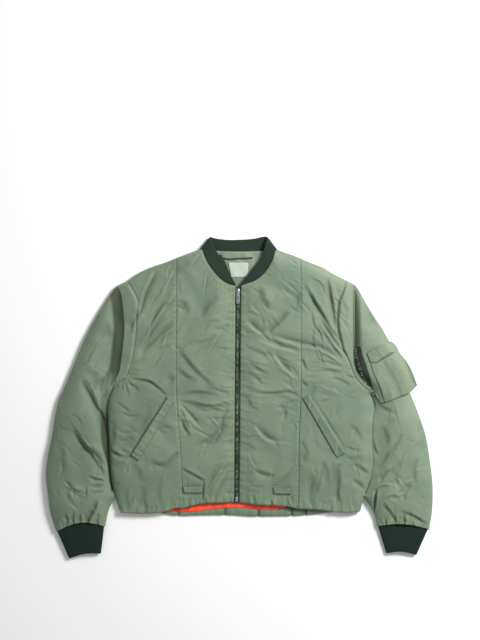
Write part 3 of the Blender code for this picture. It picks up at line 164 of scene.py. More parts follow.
# ---------------------------------------------------------------- folds
# Each fold is a soft trough along a path of layout squares. Depth and width are millimetres,
# and a negative depth is a ridge. Sharp runs from 0, a soft trough, to 1, a crisp line. Lip is
# how much the cloth swells beside it, on the left of the path as it runs, or on the right if
# it is negative.
# A trough also darkens the cloth's colour by its depth: painted shade.
FOLDS = [
    # depth, width, sharp, lip, path
    # wearer's right chest, from the shoulder and the cap seam
    (6.0, 5.0, 0.7, -0.5, [(156, 271), (150, 284), (145.4, 294), (142.5, 304), (139.5, 316)]),
    (3.0, 3.2, 0.9, -0.3, [(147, 289), (143, 298), (140.5, 308)]),
    (4.5, 7.0, 0.4, 0.4, [(139.5, 311), (134, 320), (129, 330)]),
    (3.6, 6.0, 0.5, 0.4, [(166, 300), (157, 313), (149.5, 327), (144, 338)]),
    (4.2, 5.0, 0.6, 0.5, [(175, 323), (163, 332), (151.5, 343), (139.5, 353)]),
    (2.2, 5.0, 0.5, 0.3, [(167, 318), (157, 324), (148, 334)]),
    (3.0, 12.0, 0.1, 0.3, [(189, 262), (178, 270), (163, 272)]),
    (3.2, 9.0, 0.2, 0.2, [(178, 300), (184, 306), (187, 315)]),
    (3.6, 8.0, 0.3, -0.4, [(200, 318), (206, 307), (218, 297)]),
    (2.6, 6.0, 0.3, 0.3, [(186, 345), (203, 342), (216, 335)]),
    (1.8, 5.0, 0.4, 0.3, [(214, 330), (222, 328), (228, 325)]),
    (3.6, 6.5, 0.5, 0.5, [(176, 346), (184, 358), (196, 372), (214, 388)]),
    (3.0, 6.0, 0.5, 0.4, [(176, 368), (185, 376), (196, 381)]),
    (3.5, 8.0, 0.2, 0.3, [(175, 376), (170, 381), (166, 384)]),
    (5.5, 3.6, 0.7, 0.5, [(130, 379), (140, 380), (150, 382), (158, 388), (167, 396)]),
    (2.4, 4.0, 0.6, 0.4, [(127, 384), (134, 386), (139, 391)]),
    (2.0, 3.5, 0.6, 0.4, [(126, 374), (133, 371), (140, 370)]),
    (2.2, 4.0, 0.6, 0.4, [(129, 366), (138, 362), (146, 358)]),
    (1.8, 3.5, 0.6, 0.3, [(127, 388), (129, 396)]),
    # fan from the right welt's top
    (3.4, 5.5, 0.5, 0.5, [(179, 397), (190, 393.5), (203, 393), (218, 396)]),
    (3.8, 6.5, 0.4, 0.5, [(180, 400.5), (192, 405), (208, 408), (229, 405)]),
    (3.0, 6.0, 0.4, -0.4, [(179, 402), (188, 412), (197, 422), (204, 430)]),
    (2.5, 6.0, 0.3, 0.4, [(205, 389), (218, 390), (230, 393)]),
    (3.4, 7.0, 0.3, -0.4, [(227, 409), (220, 427), (212, 437), (203, 445)]),
    (3.4, 7.0, 0.3, 0.3, [(181, 417), (184, 427), (189, 438)]),
    (2.4, 5.0, 0.4, 0.3, [(157, 430), (165, 427), (174, 430)]),
    # lower right front
    (4.0, 7.0, 0.35, 0.5, [(150, 461), (158, 464.5), (165, 464), (171, 458), (179, 451)]),
    (4.2, 5.0, 0.55, 0.4, [(108, 449), (116, 453), (123, 456.5), (131, 454)]),
    (2.6, 5.0, 0.4, 0.3, [(112, 466), (119, 464), (125, 461)]),
    (2.4, 9.0, 0.1, 0.3, [(131, 462), (137, 470), (140, 482)]),
    (4.4, 3.6, 0.7, 0.6, [(181, 468.5), (188, 472), (196, 476.5), (205, 481.5)]),
    (4.5, 3.2, 0.8, 0.4, [(204, 480), (203.2, 488), (202, 504)]),
    (3.4, 8.0, 0.3, 0.3, [(193, 447), (206, 441), (218, 432)]),
    (3.0, 7.0, 0.3, -0.4, [(206, 497), (210, 482), (215, 473), (226, 465)]),
    (2.6, 6.0, 0.3, 0.3, [(214, 500), (219, 487), (228, 476)]),
    (2.2, 8.0, 0.2, 0.2, [(161, 476), (158, 489), (159, 504)]),
    (2.2, 7.0, 0.2, 0.2, [(144, 486), (143, 498), (145, 510)]),
    (2.0, 6.0, 0.2, 0.2, [(127, 487), (126, 499), (129, 511)]),
    # wearer's left chest
    (5.6, 5.0, 0.6, 0.5, [(303, 284), (308, 292), (315, 304), (324, 319), (334, 338)]),
    (2.4, 3.0, 0.8, 0.3, [(309, 294), (316, 306)]),
    (5.5, 5.0, 0.5, 0.4, [(327, 277), (329.5, 294), (332, 308), (334.5, 327)]),
    (3.5, 4.5, 0.5, 0.4, [(319, 317), (326, 329), (333, 339), (338.5, 346)]),
    (3.0, 5.0, 0.4, 0.3, [(317, 324), (325, 336), (335, 348)]),
    (3.0, 4.0, 0.6, 0.4, [(327, 341), (334, 349), (342, 359)]),
    (3.5, 9.0, 0.2, 0.4, [(300, 289), (297, 300), (298, 312)]),
    (4.0, 10.0, 0.15, 0.4, [(258, 287), (261, 298), (268, 309)]),
    (3.6, 6.0, 0.4, -0.5, [(246, 318), (254, 327), (264.5, 334)]),
    (4.2, 6.0, 0.45, -0.5, [(266, 333), (275, 325), (288, 312)]),
    (4.6, 5.0, 0.6, -0.5, [(268, 335), (285, 340), (299, 344), (315, 347), (329, 353),
                           (342, 362)]),
    (3.6, 5.0, 0.5, -0.4, [(258, 338), (270, 343), (280, 347), (298, 350.5)]),
    (2.8, 6.0, 0.3, 0.3, [(247, 347), (259, 353), (275, 356)]),
    (3.2, 6.0, 0.4, -0.4, [(274, 352), (284, 365), (296, 377)]),
    (4.0, 4.5, 0.5, 0.3, [(301.5, 358), (303.5, 364), (306, 370)]),
    (3.0, 4.0, 0.5, 0.3, [(301.5, 379), (304, 384), (308, 387)]),
    (3.2, 5.0, 0.5, 0.4, [(320, 370), (331, 371), (343, 372.5)]),
    (2.4, 4.0, 0.5, 0.3, [(327, 362), (336, 365), (343, 366)]),
    (2.0, 4.0, 0.5, 0.3, [(330, 378), (340, 380), (350, 386)]),
    (3.2, 4.5, 0.5, 0.4, [(251, 390), (263, 393), (276, 393), (290, 391.5), (300, 396)]),
    (2.4, 5.0, 0.4, 0.4, [(258, 400), (272, 397), (289, 397)]),
    (2.4, 5.0, 0.4, 0.3, [(247, 372), (255, 377), (262, 385)]),
    (2.2, 7.0, 0.2, 0.3, [(315, 384), (312, 391), (307, 397)]),
    (2.5, 5.0, 0.4, 0.3, [(279, 404), (285, 412), (283, 420)]),
    # lower left front
    (3.4, 6.0, 0.4, -0.4, [(256, 425), (263, 434), (270, 440), (278, 444)]),
    (3.2, 6.0, 0.4, 0.4, [(254, 470), (263, 473.5), (274, 476)]),
    (3.2, 5.0, 0.5, 0.5, [(275, 487), (285, 477), (297, 464)]),
    (3.4, 9.0, 0.15, 0.4, [(316, 470), (313, 484), (310.5, 507)]),
    (3.4, 8.0, 0.3, 0.5, [(335, 462), (337, 478), (335, 500)]),
    (2.8, 5.0, 0.4, 0.3, [(354, 465), (360, 469), (367, 474)]),
    (2.8, 5.0, 0.4, 0.3, [(353, 479), (359, 483), (364, 488)]),
    (2.6, 6.0, 0.3, 0.3, [(301, 440), (305, 452), (303, 464)]),
    (2.4, 7.0, 0.2, 0.3, [(321, 460), (326, 472), (325, 484)]),
    (2.0, 5.0, 0.3, 0.3, [(345, 457), (352, 459), (361, 456)]),
    (2.2, 6.0, 0.3, 0.3, [(349, 425), (357, 432), (361, 442)]),
    # wearer's right sleeve
    (6.5, 7.0, 0.5, 0.6, [(83, 379), (90, 393), (97, 408), (104, 424), (107, 438)]),
    (5.5, 9.0, 0.35, 0.6, [(72, 430), (84, 446), (96, 463), (104.5, 478)]),
    (3.5, 12.0, 0.1, 0.3, [(104, 322), (109, 336), (110, 349)]),
    (3.0, 12.0, 0.1, 0.3, [(96, 372), (93, 384), (88, 398)]),
    (4.0, 8.0, 0.3, 0.3, [(87, 447), (95, 453), (103, 466)]),
    (3.4, 4.0, 0.5, 0.4, [(88, 476), (96, 480), (105, 482)]),
    (3.0, 3.5, 0.5, 0.4, [(90, 486), (97, 486.5), (105, 486)]),
    (2.6, 3.5, 0.5, 0.4, [(92, 492), (98, 492), (104, 490)]),
    (3.4, 5.0, 0.4, 0.4, [(66, 479), (70, 486), (77, 491), (87, 494)]),
    (2.8, 6.0, 0.3, 0.3, [(67, 484), (68, 494), (73, 505)]),
    (6.5, 5.0, 0.6, 0.6, [(98, 500), (93, 510), (88, 520), (86, 527)]),
    (4.0, 3.6, 0.5, 0.3, [(66, 513), (67, 520), (66, 531)]),
    (4.0, 3.6, 0.5, 0.3, [(74, 511), (73.5, 519), (74, 530)]),
    (3.4, 3.6, 0.5, 0.3, [(81, 512), (80, 520), (81, 528)]),
    (3.0, 3.6, 0.5, 0.3, [(98, 515), (97, 521), (98, 528)]),
    (2.6, 10.0, 0.1, 0.3, [(58, 440), (62, 455), (61, 470)]),
    # wearer's left sleeve
    (3.0, 9.0, 0.15, 0.3, [(365, 300), (371, 312), (374, 328)]),
    (3.2, 6.0, 0.3, 0.4, [(376, 404), (384, 409), (396, 413)]),
    (3.6, 5.0, 0.5, 0.4, [(374, 470), (382, 462), (392, 449), (399, 441)]),
    (2.6, 5.0, 0.4, 0.4, [(378, 480), (387, 473), (394, 467)]),
    (2.6, 4.0, 0.5, 0.4, [(373, 492), (381, 487), (390, 486)]),
    (2.8, 7.0, 0.3, 0.3, [(397, 495), (404, 488), (416, 481)]),
    (2.4, 6.0, 0.3, 0.3, [(417, 458), (413, 470), (415, 484)]),
    (2.4, 6.0, 0.3, 0.3, [(401, 462), (395, 474), (397, 486)]),
    (10.0, 2.6, 0.8, 0.3, [(376.2, 488), (375.2, 500), (373.6, 515)]),
    (4.0, 4.5, 0.5, 0.4, [(382, 503), (388, 510), (395, 520)]),
    (4.6, 4.0, 0.5, 0.5, [(401, 512), (410, 514.5), (418, 519), (427, 525)]),
    (4.0, 3.0, 0.5, 0.3, [(394.5, 515), (395, 520), (395.5, 528)]),
    (4.0, 3.0, 0.5, 0.3, [(403.5, 515), (404, 520), (404, 528)]),
    (3.0, 3.0, 0.5, 0.3, [(385, 517), (385.5, 522), (386, 529)]),
    (3.0, 3.0, 0.5, 0.3, [(412, 521), (413, 525), (413, 530)]),
    (3.0, 8.0, 0.2, 0.3, [(380, 425), (386, 437), (384, 450)]),
    (2.2, 9.0, 0.1, 0.3, [(420, 420), (423, 440), (421, 455)]),
]
FOLDS += [
    # broad shallow dips
    (3.6, 32.0, 0.0, 0.0, [(70, 426), (80, 452), (86, 486)]),
    (2.8, 22.0, 0.0, 0.0, [(138, 412), (130, 436), (122, 456)]),
    (2.2, 24.0, 0.0, 0.0, [(288, 452), (300, 474), (312, 500)]),
    (2.0, 16.0, 0.0, 0.0, [(190, 352), (212, 348), (226, 352)]),
    # gathers where the right armhole meets the side
    (2.6, 2.4, 0.8, 0.5, [(124.5, 377), (126, 384), (127.5, 392)]),
    (2.4, 2.4, 0.8, 0.5, [(123.5, 378), (122.5, 384), (122.5, 391)]),
    (2.2, 2.4, 0.8, -0.5, [(122.5, 378), (119, 382), (115.5, 388)]),
    (2.4, 2.4, 0.8, 0.5, [(125.5, 377.5), (130, 382), (133, 388)]),
    (2.2, 2.4, 0.8, 0.5, [(126, 375.5), (131, 374.5), (138, 375)]),
    (2.0, 2.4, 0.8, 0.5, [(125.5, 374), (129, 370), (134, 367)]),
    # between the right side and the right pocket
    (3.4, 14.0, 0.0, 0.0, [(152, 402), (146, 420), (138, 440), (132, 450)]),
    (3.4, 9.0, 0.1, 0.0, [(112, 420), (113, 436), (112, 448)]),
    (4.6, 2.8, 0.8, 0.6, [(109.5, 449.5), (115, 453.5), (121.5, 455.5)]),
    (3.6, 2.6, 0.8, 0.6, [(121.5, 449.5), (125, 451.5), (129, 452)]),
    (2.6, 3.0, 0.7, 0.5, [(116, 402), (124, 407), (131, 413)]),
    (2.4, 3.0, 0.7, 0.5, [(122, 412), (130, 416), (139, 416)]),
    (2.2, 3.0, 0.7, -0.5, [(114, 428), (122, 433), (131, 434)]),
    (2.2, 3.0, 0.7, 0.5, [(119, 441), (127, 440), (134, 436)]),
    (2.6, 3.0, 0.7, 0.5, [(152, 463), (163, 466), (171, 459), (178, 452)]),
    (2.2, 3.0, 0.7, 0.5, [(118, 470), (126, 466), (133, 459)]),
    # beside the pockets' mouths and round the hem tabs
    (3.0, 2.8, 0.7, 0.0, [(166.6, 396), (148, 425), (129.3, 454)]),
    (3.0, 2.8, 0.7, 0.0, [(309.6, 393.4), (328, 422), (347, 452)]),
    (2.4, 2.2, 0.8, 0.0, [(180.4, 485.2), (192, 485.4), (204, 485.6)]),
    (2.4, 2.2, 0.8, 0.0, [(181, 494.8), (192, 494.8), (204, 494.6)]),
    (2.4, 2.2, 0.8, 0.0, [(271.2, 486.2), (281, 486.2), (292, 486.4)]),
    (2.4, 2.2, 0.8, 0.0, [(272, 495.2), (281, 495.4), (292, 495.2)]),
    (1.6, 2.4, 0.8, 0.0, [(291.6, 495), (291.8, 500), (291.8, 506)]),
    (2.6, 3.0, 0.7, 0.5, [(253.6, 495), (254.2, 499), (254, 504)]),
    (2.0, 3.0, 0.7, 0.5, [(271, 499), (271.4, 503), (271, 506)]),
    # the fan from the right armhole to the shoulder and the princess seam
    (3.0, 4.5, 0.6, 0.6, [(139, 352), (150, 334), (160, 317), (170, 302)]),
    (2.6, 4.0, 0.6, 0.6, [(140, 354), (153, 340), (164, 328), (176, 317)]),
    (2.6, 4.0, 0.7, -0.5, [(141, 356), (154, 346), (166, 337), (178, 331)]),
    (2.4, 4.0, 0.6, 0.5, [(163, 298), (169, 284), (176, 270)]),
    (1.8, 4.0, 0.6, 0.5, [(150, 322), (158, 309), (165, 300)]),
    (2.4, 3.5, 0.7, 0.5, [(157, 350), (165, 347), (172.5, 344.5)]),
    (2.4, 3.5, 0.7, -0.5, [(172.5, 344.5), (178, 349), (188, 344), (198, 341)]),
    (1.6, 3.0, 0.7, 0.5, [(172, 311), (178, 306), (184, 311)]),
    (2.0, 3.5, 0.6, 0.5, [(202, 330), (210, 322), (219, 320)]),
    (1.6, 3.0, 0.7, 0.5, [(219, 348), (226, 349), (231, 347)]),
    (2.2, 3.0, 0.8, -0.6, [(217, 386), (223, 388), (230, 388.5)]),
    (2.6, 4.0, 0.6, 0.5, [(181, 403), (192, 402), (202, 405), (215, 406), (229, 403)]),
    (2.4, 3.5, 0.7, 0.5, [(199, 410), (207, 411), (219, 409)]),
    (2.4, 3.5, 0.7, 0.5, [(181, 404), (190, 414), (199, 425)]),
    (2.0, 3.5, 0.6, 0.5, [(180, 406), (184, 417), (190, 430)]),
    (3.6, 4.0, 0.8, 0.6, [(204, 444), (213, 442), (219, 434), (223, 424)]),
    (2.6, 4.0, 0.6, 0.5, [(229, 409), (224, 414), (220, 425)]),
    (2.0, 3.0, 0.7, 0.5, [(225, 443), (231, 440)]),
    (2.6, 3.5, 0.7, 0.5, [(180, 417), (183, 425), (190, 436)]),
    (1.8, 3.0, 0.7, 0.5, [(157, 429), (165, 433), (174, 431)]),
    (2.4, 3.0, 0.8, 0.6, [(207, 497), (212, 486), (221, 473), (228, 462)]),
    (2.0, 3.5, 0.6, 0.5, [(212, 499), (218, 489), (228, 470)]),
    (1.8, 3.5, 0.6, -0.5, [(214, 462), (221, 459), (228, 455)]),
    (2.2, 3.5, 0.7, 0.5, [(109, 478), (114, 484), (120, 483)]),
    # the wearer's left front
    (2.8, 3.5, 0.7, -0.6, [(250, 322), (257, 330), (265, 334.5)]),
    (2.4, 3.5, 0.7, 0.5, [(265, 334.5), (273, 326), (280, 318), (288, 312)]),
    (3.4, 4.0, 0.7, -0.6, [(262, 336), (279, 345), (296, 350)]),
    (3.4, 4.0, 0.7, -0.6, [(269, 333), (290, 340), (305, 344), (320, 347), (339, 358)]),
    (2.4, 3.5, 0.7, 0.5, [(298, 346), (317, 351), (342, 366)]),
    (2.6, 4.5, 0.5, 0.5, [(248, 362), (259, 370), (265, 374)]),
    (2.6, 4.0, 0.6, -0.5, [(273, 354), (284, 366), (298, 378)]),
    (2.0, 3.5, 0.6, -0.5, [(290, 366), (298, 376)]),
    (2.4, 3.5, 0.7, 0.5, [(254, 393), (275, 394), (290, 392.6), (301, 398)]),
    (2.2, 3.5, 0.6, 0.5, [(275, 408), (288, 403), (299, 399)]),
    (2.0, 3.5, 0.6, 0.5, [(280, 417), (290, 409), (300, 402)]),
    (3.0, 4.0, 0.7, -0.6, [(255, 425), (265, 436), (273, 440), (286, 441)]),
    (2.4, 3.5, 0.7, 0.5, [(255, 471), (264, 475.5), (275, 475)]),
    (2.4, 3.0, 0.8, 0.6, [(276, 486), (287, 479), (296, 470), (297, 452)]),
    (2.2, 4.0, 0.6, 0.5, [(247, 400), (252, 407), (259, 410)]),
    (2.4, 4.0, 0.6, 0.5, [(313, 476), (310, 490), (309, 506)]),
    (2.6, 4.5, 0.5, 0.5, [(323, 462), (320, 476), (315, 497)]),
    (2.6, 4.0, 0.6, -0.5, [(340, 463), (333, 472), (331, 480)]),
    (2.6, 4.5, 0.5, 0.5, [(338, 480), (337, 492), (340, 505)]),
    (2.0, 3.5, 0.6, 0.5, [(345, 446), (354, 450), (362, 450)]),
    (2.2, 3.5, 0.7, 0.5, [(354, 464), (362, 468), (368, 474)]),
    (2.2, 3.5, 0.7, 0.5, [(353, 480), (360, 486), (366, 490)]),
    # the wearer's right sleeve
    (4.0, 4.5, 0.7, 0.6, [(81, 380), (90, 397), (102, 416)]),
    (3.0, 5.0, 0.6, 0.5, [(92, 388), (98, 382), (106, 377)]),
    (4.0, 4.5, 0.7, 0.6, [(72, 429), (88, 451), (104, 474)]),
    (3.4, 6.0, 0.4, -0.5, [(88, 449), (96, 456), (103, 470)]),
    (2.8, 3.0, 0.8, 0.6, [(92, 476), (98, 479), (105, 480)]),
    (2.8, 3.0, 0.8, 0.6, [(92, 485), (99, 484.5), (105, 485)]),
    (2.6, 3.5, 0.7, -0.5, [(65, 481), (69, 484.5), (72, 488)]),
    (2.4, 4.0, 0.5, 0.5, [(66, 486), (76, 494), (86, 498)]),
    # the wearer's left sleeve
    (2.8, 4.0, 0.6, 0.5, [(373, 440), (374, 448), (377, 455)]),
    (3.0, 3.5, 0.7, 0.6, [(391, 447), (386, 455), (380, 463)]),
    (2.6, 3.5, 0.7, 0.6, [(387, 471), (383, 476), (379, 481)]),
    (2.4, 4.0, 0.6, 0.5, [(402, 434), (396, 444), (390, 452)]),
    (2.4, 4.0, 0.6, 0.5, [(410, 485), (405, 492), (402, 500)]),
    (2.6, 4.0, 0.6, 0.5, [(384, 500), (392, 496), (400, 498)]),
]

# Zones of small creases: middle and half size in layout squares, how many, their heading in
# degrees up from the wearer's left, how far headings scatter, length and depth in millimetres.
CREASE_ZONES = [
    # u, v, half_u, half_v, count, heading, scatter, length, depth
    (152, 330, 22, 38, 20, 54, 11, 70, 1.3),
    (205, 345, 26, 42, 22, 30, 26, 52, 0.8),
    (206, 418, 26, 22, 14, -25, 26, 58, 1.0),
    (208, 470, 24, 30, 14, 50, 25, 45, 1.0),
    (142, 432, 33, 38, 24, -35, 40, 40, 1.0),
    (152, 486, 28, 20, 16, 80, 28, 36, 0.9),
    (227, 400, 5, 98, 30, 4, 12, 18, 0.7),
    (248, 400, 6, 98, 36, -6, 10, 20, 0.8),
    (274, 342, 24, 52, 28, -22, 24, 50, 1.1),
    (324, 322, 20, 36, 18, -58, 10, 70, 1.3),
    (330, 380, 26, 22, 16, -12, 20, 42, 1.1),
    (274, 418, 24, 24, 16, 22, 34, 46, 1.0),
    (274, 470, 24, 30, 14, 36, 36, 40, 1.0),
    (333, 436, 29, 36, 24, 70, 32, 42, 1.0),
    (332, 486, 28, 20, 20, 86, 18, 36, 1.1),
    (240, 503, 116, 5, 56, 90, 10, 14, 0.8),
    (188, 275, 28, 16, 10, 36, 18, 50, 0.8),
    (281, 279, 20, 20, 10, -40, 24, 50, 0.8),
    (97, 350, 12, 50, 12, 64, 12, 60, 1.0),
    (82, 440, 22, 40, 20, -52, 22, 50, 1.1),
    (80, 500, 24, 20, 18, -20, 50, 28, 1.2),
    (81, 521, 24, 7, 24, 88, 9, 16, 1.3),
    (404, 445, 26, 36, 18, 45, 28, 50, 0.9),
    (404, 498, 26, 18, 18, 20, 50, 28, 1.1),
    (402, 520, 26, 7, 24, 90, 9, 16, 1.3),
]


CREASE_RANGES = {       # length and depth as shares of the zone's, width in millimetres
    "length": (0.5, 1.5), "depth": (0.4, 1.5), "width": (2.1, 3.6), "sharp": (0.6, 1.0),
    "lip": (-0.6, 0.6), "bend": 0.22,
}


def small_creases(zones, seed):
    """Fold rows for the small creases of some zones, scattered and a little bent."""
    random = np.random.default_rng(seed)
    ranges = CREASE_RANGES
    rows = []
    for u, v, half_u, half_v, count, heading, scatter, length, depth in zones:
        for _ in range(count):
            middle = np.array([u, v]) + random.uniform(-1, 1, 2) * (half_u, half_v)
            angle = math.radians(heading + random.normal(0, scatter))
            half = length * random.uniform(*ranges["length"]) / SQUARE / 2 * np.array(
                [math.cos(angle), -math.sin(angle)])
            bend = random.normal(0, ranges["bend"]) * half[::-1] * (1, -1)
            rows.append((depth * random.uniform(*ranges["depth"]),
                         random.uniform(*ranges["width"]), random.uniform(*ranges["sharp"]),
                         random.choice(ranges["lip"]),
                         [middle - half, middle + bend, middle + half]))
    return rows


BACK_FOLDS = [          # on the lower layer, where a trough runs up into the jacket
    # depth, width, sharp, lip, path
    (3.5, 9.0, 0.3, 0.0, [(150, 285), (160, 320), (158, 355)]),
    (4.0, 10.0, 0.3, 0.0, [(330, 290), (322, 325), (326, 362)]),
    (3.0, 8.0, 0.4, 0.0, [(120, 392), (140, 400), (165, 396)]),
    (3.0, 8.0, 0.4, 0.0, [(360, 398), (340, 404), (318, 399)]),
    (3.5, 12.0, 0.2, 0.0, [(190, 330), (205, 370), (198, 415)]),
    (3.5, 12.0, 0.2, 0.0, [(288, 336), (276, 378), (284, 420)]),
    (2.5, 9.0, 0.3, 0.0, [(150, 430), (180, 447), (214, 441)]),
    (2.5, 9.0, 0.3, 0.0, [(330, 436), (300, 452), (262, 445)]),
    (3.0, 7.0, 0.4, 0.0, [(86, 430), (92, 452), (88, 478)]),
    (3.0, 7.0, 0.4, 0.0, [(396, 432), (390, 455), (396, 480)]),
    (3.0, 6.0, 0.5, 0.0, [(74, 500), (80, 512), (79, 526)]),
    (3.0, 6.0, 0.5, 0.0, [(404, 498), (399, 510), (402, 524)]),
]
BACK_ZONES = [
    # u, v, half_u, half_v, count, heading, scatter, length, depth
    (160, 330, 34, 46, 20, -58, 14, 70, 1.0),
    (320, 330, 34, 46, 20, 58, 14, 70, 1.0),
    (240, 370, 60, 70, 34, 4, 24, 56, 1.0),
    (240, 470, 110, 30, 40, 84, 26, 36, 0.9),
    (84, 430, 24, 80, 26, -60, 24, 50, 1.0),
    (402, 430, 24, 80, 26, 60, 24, 50, 1.0),
    (81, 521, 24, 7, 20, 90, 9, 16, 1.1),
    (402, 520, 26, 7, 20, 90, 9, 16, 1.1),
]


# ---------------------------------------------------------------- lines in the plan
def run_of(line):
    """Length of a line up to each of its points."""
    return np.concatenate([[0.0], np.cumsum(np.linalg.norm(np.diff(line, axis=0), axis=1))])


def curve_at(span, t, width, knots, slope):
    """Points of a smooth curve at shares t of its spans, from its knots and their slopes."""
    return ((2 * t**3 - 3 * t**2 + 1) * knots[span] + (t**3 - 2 * t**2 + t) * width * slope[span]
            + (3 * t**2 - 2 * t**3) * knots[span + 1] + (t**3 - t**2) * width * slope[span + 1])


def smooth(points, step=4.0):
    """A smooth line through the points, as samples about step apart."""
    knots = np.array(points, float)
    at_knot = run_of(knots)
    if len(knots) == 2:
        slope = np.repeat((knots[1:] - knots[:1]) / at_knot[1], 2, axis=0)
    else:
        slope = np.gradient(knots, at_knot, axis=0)
    where = np.linspace(0.0, at_knot[-1], max(2, round(at_knot[-1] / step) + 1))
    span = np.clip(np.searchsorted(at_knot, where, side="right") - 1, 0, len(knots) - 2)
    width = (at_knot[span + 1] - at_knot[span])[:, None]
    t = (where - at_knot[span])[:, None] / width
    return curve_at(span, t, width, knots, slope)


def squares(points, step=4.0):
    """A smooth line through layout squares, in millimetres."""
    return smooth([at(u, v) for u, v in points], step)


def join(*lines):
    """Lines that start where the one before ends, as one line with corners."""
    return np.vstack([lines[0]] + [line[1:] for line in lines[1:]])


def length_of(line):
    return np.linalg.norm(np.diff(line, axis=0), axis=1).sum()


def along(line, fractions):
    """Points of a line at fractions of its length."""
    reach = run_of(line)
    reach /= reach[-1]
    return np.stack([np.interp(fractions, reach, line[:, axis])
                     for axis in range(line.shape[1])], 1)


POINTS_AT_ONCE = 4000   # so that the table of points and spans stays small


def beside(points, path):
    """Signed distance of plan points from a path, + on its left, and their share along it."""
    starts, run = path[:-1], np.diff(path, axis=0)
    length = np.hypot(run[:, 0], run[:, 1])
    begin = np.concatenate([[0.0], np.cumsum(length)])
    distance = np.empty(len(points))
    share = np.empty(len(points))
    for first in range(0, len(points), POINTS_AT_ONCE):
        chunk = slice(first, first + POINTS_AT_ONCE)
        rel = points[chunk, None] - starts[None]
        t = np.clip((rel * run).sum(2) / length**2, 0.0, 1.0)
        away = rel - t[..., None] * run
        gap = np.hypot(away[..., 0], away[..., 1])
        best = gap.argmin(1)
        row = np.arange(len(best))
        left = run[best, 0] * away[row, best, 1] - run[best, 1] * away[row, best, 0]
        distance[chunk] = np.where(left < 0, -1.0, 1.0) * gap[row, best]
        share[chunk] = (begin[best] + t[row, best] * length[best]) / begin[-1]
    return distance, share


def ease(value):
    """0 below 0, 1 above 1, and a smooth rise between."""
    t = np.clip(value, 0.0, 1.0)
    return t * t * (3.0 - 2.0 * t)


def quarter_round(value):
    """0 below 0, 1 above 1, and the rise of a quarter circle between."""
    return np.sqrt(1.0 - (1.0 - np.clip(value, 0, 1)) ** 2)


def ripple(along_mm, wavelength, seed):
    """An uneven wave of about one wavelength, between -1 and 1."""
    random = np.random.default_rng(seed)
    total = np.zeros_like(along_mm)
    for stretch, weight in ((1.0, 0.5), (1.63, 0.3), (0.58, 0.2)):
        phase = random.uniform(0, 2 * math.pi)
        wander = 0.9 * np.sin(along_mm / (wavelength * 3.1 * stretch) + phase)
        total += weight * np.sin(2 * math.pi * along_mm / (wavelength * stretch) + phase + wander)
    return total


FACET_TABLE = 64        # heights each way, after which the facets repeat
FACET_ROWS = 1.155      # rows of corners in a facet's size, which makes its triangles even
FACET_BEND = 0.35       # of a facet's size, so that creases aren't quite straight


def facets(points, size, stretch, heading, seed):
    """Flat facets with crisp creases between them, about -1 to 1, as light stiff cloth breaks."""
    heights = np.random.default_rng(seed).uniform(-1, 1, (FACET_TABLE, FACET_TABLE))
    angle = math.radians(heading)
    bend = [lumps(points, 2.6 * size, seed + turn) for turn in (1, 2)]
    bent = points + FACET_BEND * size * np.stack(bend, 1)
    u = (bent[:, 0] * math.cos(angle) + bent[:, 1] * math.sin(angle)) / (size * stretch)
    v = (bent[:, 1] * math.cos(angle) - bent[:, 0] * math.sin(angle)) / size
    v = v * FACET_ROWS
    u = u - 0.5 * v
    i, j = np.floor(u).astype(int), np.floor(v).astype(int)
    u, v = u - i, v - j

    def corner(step_i, step_j):
        return heights[(i + step_i) % FACET_TABLE, (j + step_j) % FACET_TABLE]

    low = corner(0, 0) * (1 - u - v) + corner(1, 0) * u + corner(0, 1) * v
    high = corner(1, 1) * (u + v - 1) + corner(0, 1) * (1 - u) + corner(1, 0) * (1 - v)
    return np.where(u + v < 1, low, high)


def lumps(points, wavelength, seed, waves=14):
    """Soft uneven ground in the plan, about -1 to 1, with no direction of its own."""
    random = np.random.default_rng(seed)
    heading = random.uniform(0, 2 * math.pi, waves)
    stretch = random.uniform(0.7, 1.5, waves)
    phase = random.uniform(0, 2 * math.pi, waves)
    total = np.zeros(len(points))
    warp = 0.25 * wavelength
    bent = points + warp * np.stack([np.sin(points[:, 1] / wavelength * 1.7 + seed),
                                     np.sin(points[:, 0] / wavelength * 1.9 + 2 * seed)], 1)
    for angle, size, shift in zip(heading, stretch, phase):
        way = bent[:, 0] * math.cos(angle) + bent[:, 1] * math.sin(angle)
        total += np.sin(2 * math.pi * way / (wavelength * size) + shift)
    return total / math.sqrt(waves)


LINES = {}
for hand in HANDS:
    stations = along(smooth(SIDE[hand]), np.linspace(0, 1, SIDE_SPANS + 1))
    pleat_end = stations[0] + PLEAT_END * (stations[1] - stations[0])
    LINES[hand] = {
        "shoulder": smooth(SHOULDER[hand]), "outer": smooth(SLEEVE_OUTER[hand]),
        "armhole": smooth(ARMHOLE[hand]), "pleat": smooth(PLEAT_FOLD[hand] + [pleat_end]),
        "side": smooth(SIDE[hand]), "side_foot": smooth(SIDE_FOOT[hand]),
        "inner_foot": smooth(SLEEVE_INNER_FOOT[hand]), "princess": smooth(PRINCESS[hand]),
        "neck": smooth(NECK_FRONT[hand]), "hem_centre": smooth(HEM_CENTRE[hand]),
        "hem_side": smooth(HEM_SIDE[hand]),
        "mouth": smooth([CUFFS[hand]["outer"][0], CUFFS[hand]["inner"][0]]),
    }
    line = LINES[hand]
    shoulder_at = int(np.argmin(abs(line["shoulder"][:, 0] - PRINCESS[hand][0][0])))
    line["near_neck"] = line["shoulder"][:shoulder_at + 1]
    line["near_sleeve"] = line["shoulder"][shoulder_at:]
    line["princess"][0] = line["shoulder"][shoulder_at]
FOLDED_EDGES = [smooth(LINES[hand][part][::3]) for hand in HANDS for part in
                ("shoulder", "outer", "side", "side_foot", "inner_foot")]


def hand_of(points):
    """The side of the jacket that plan points lie on."""
    return "right" if points[:, 0].mean() < 0 else "left"


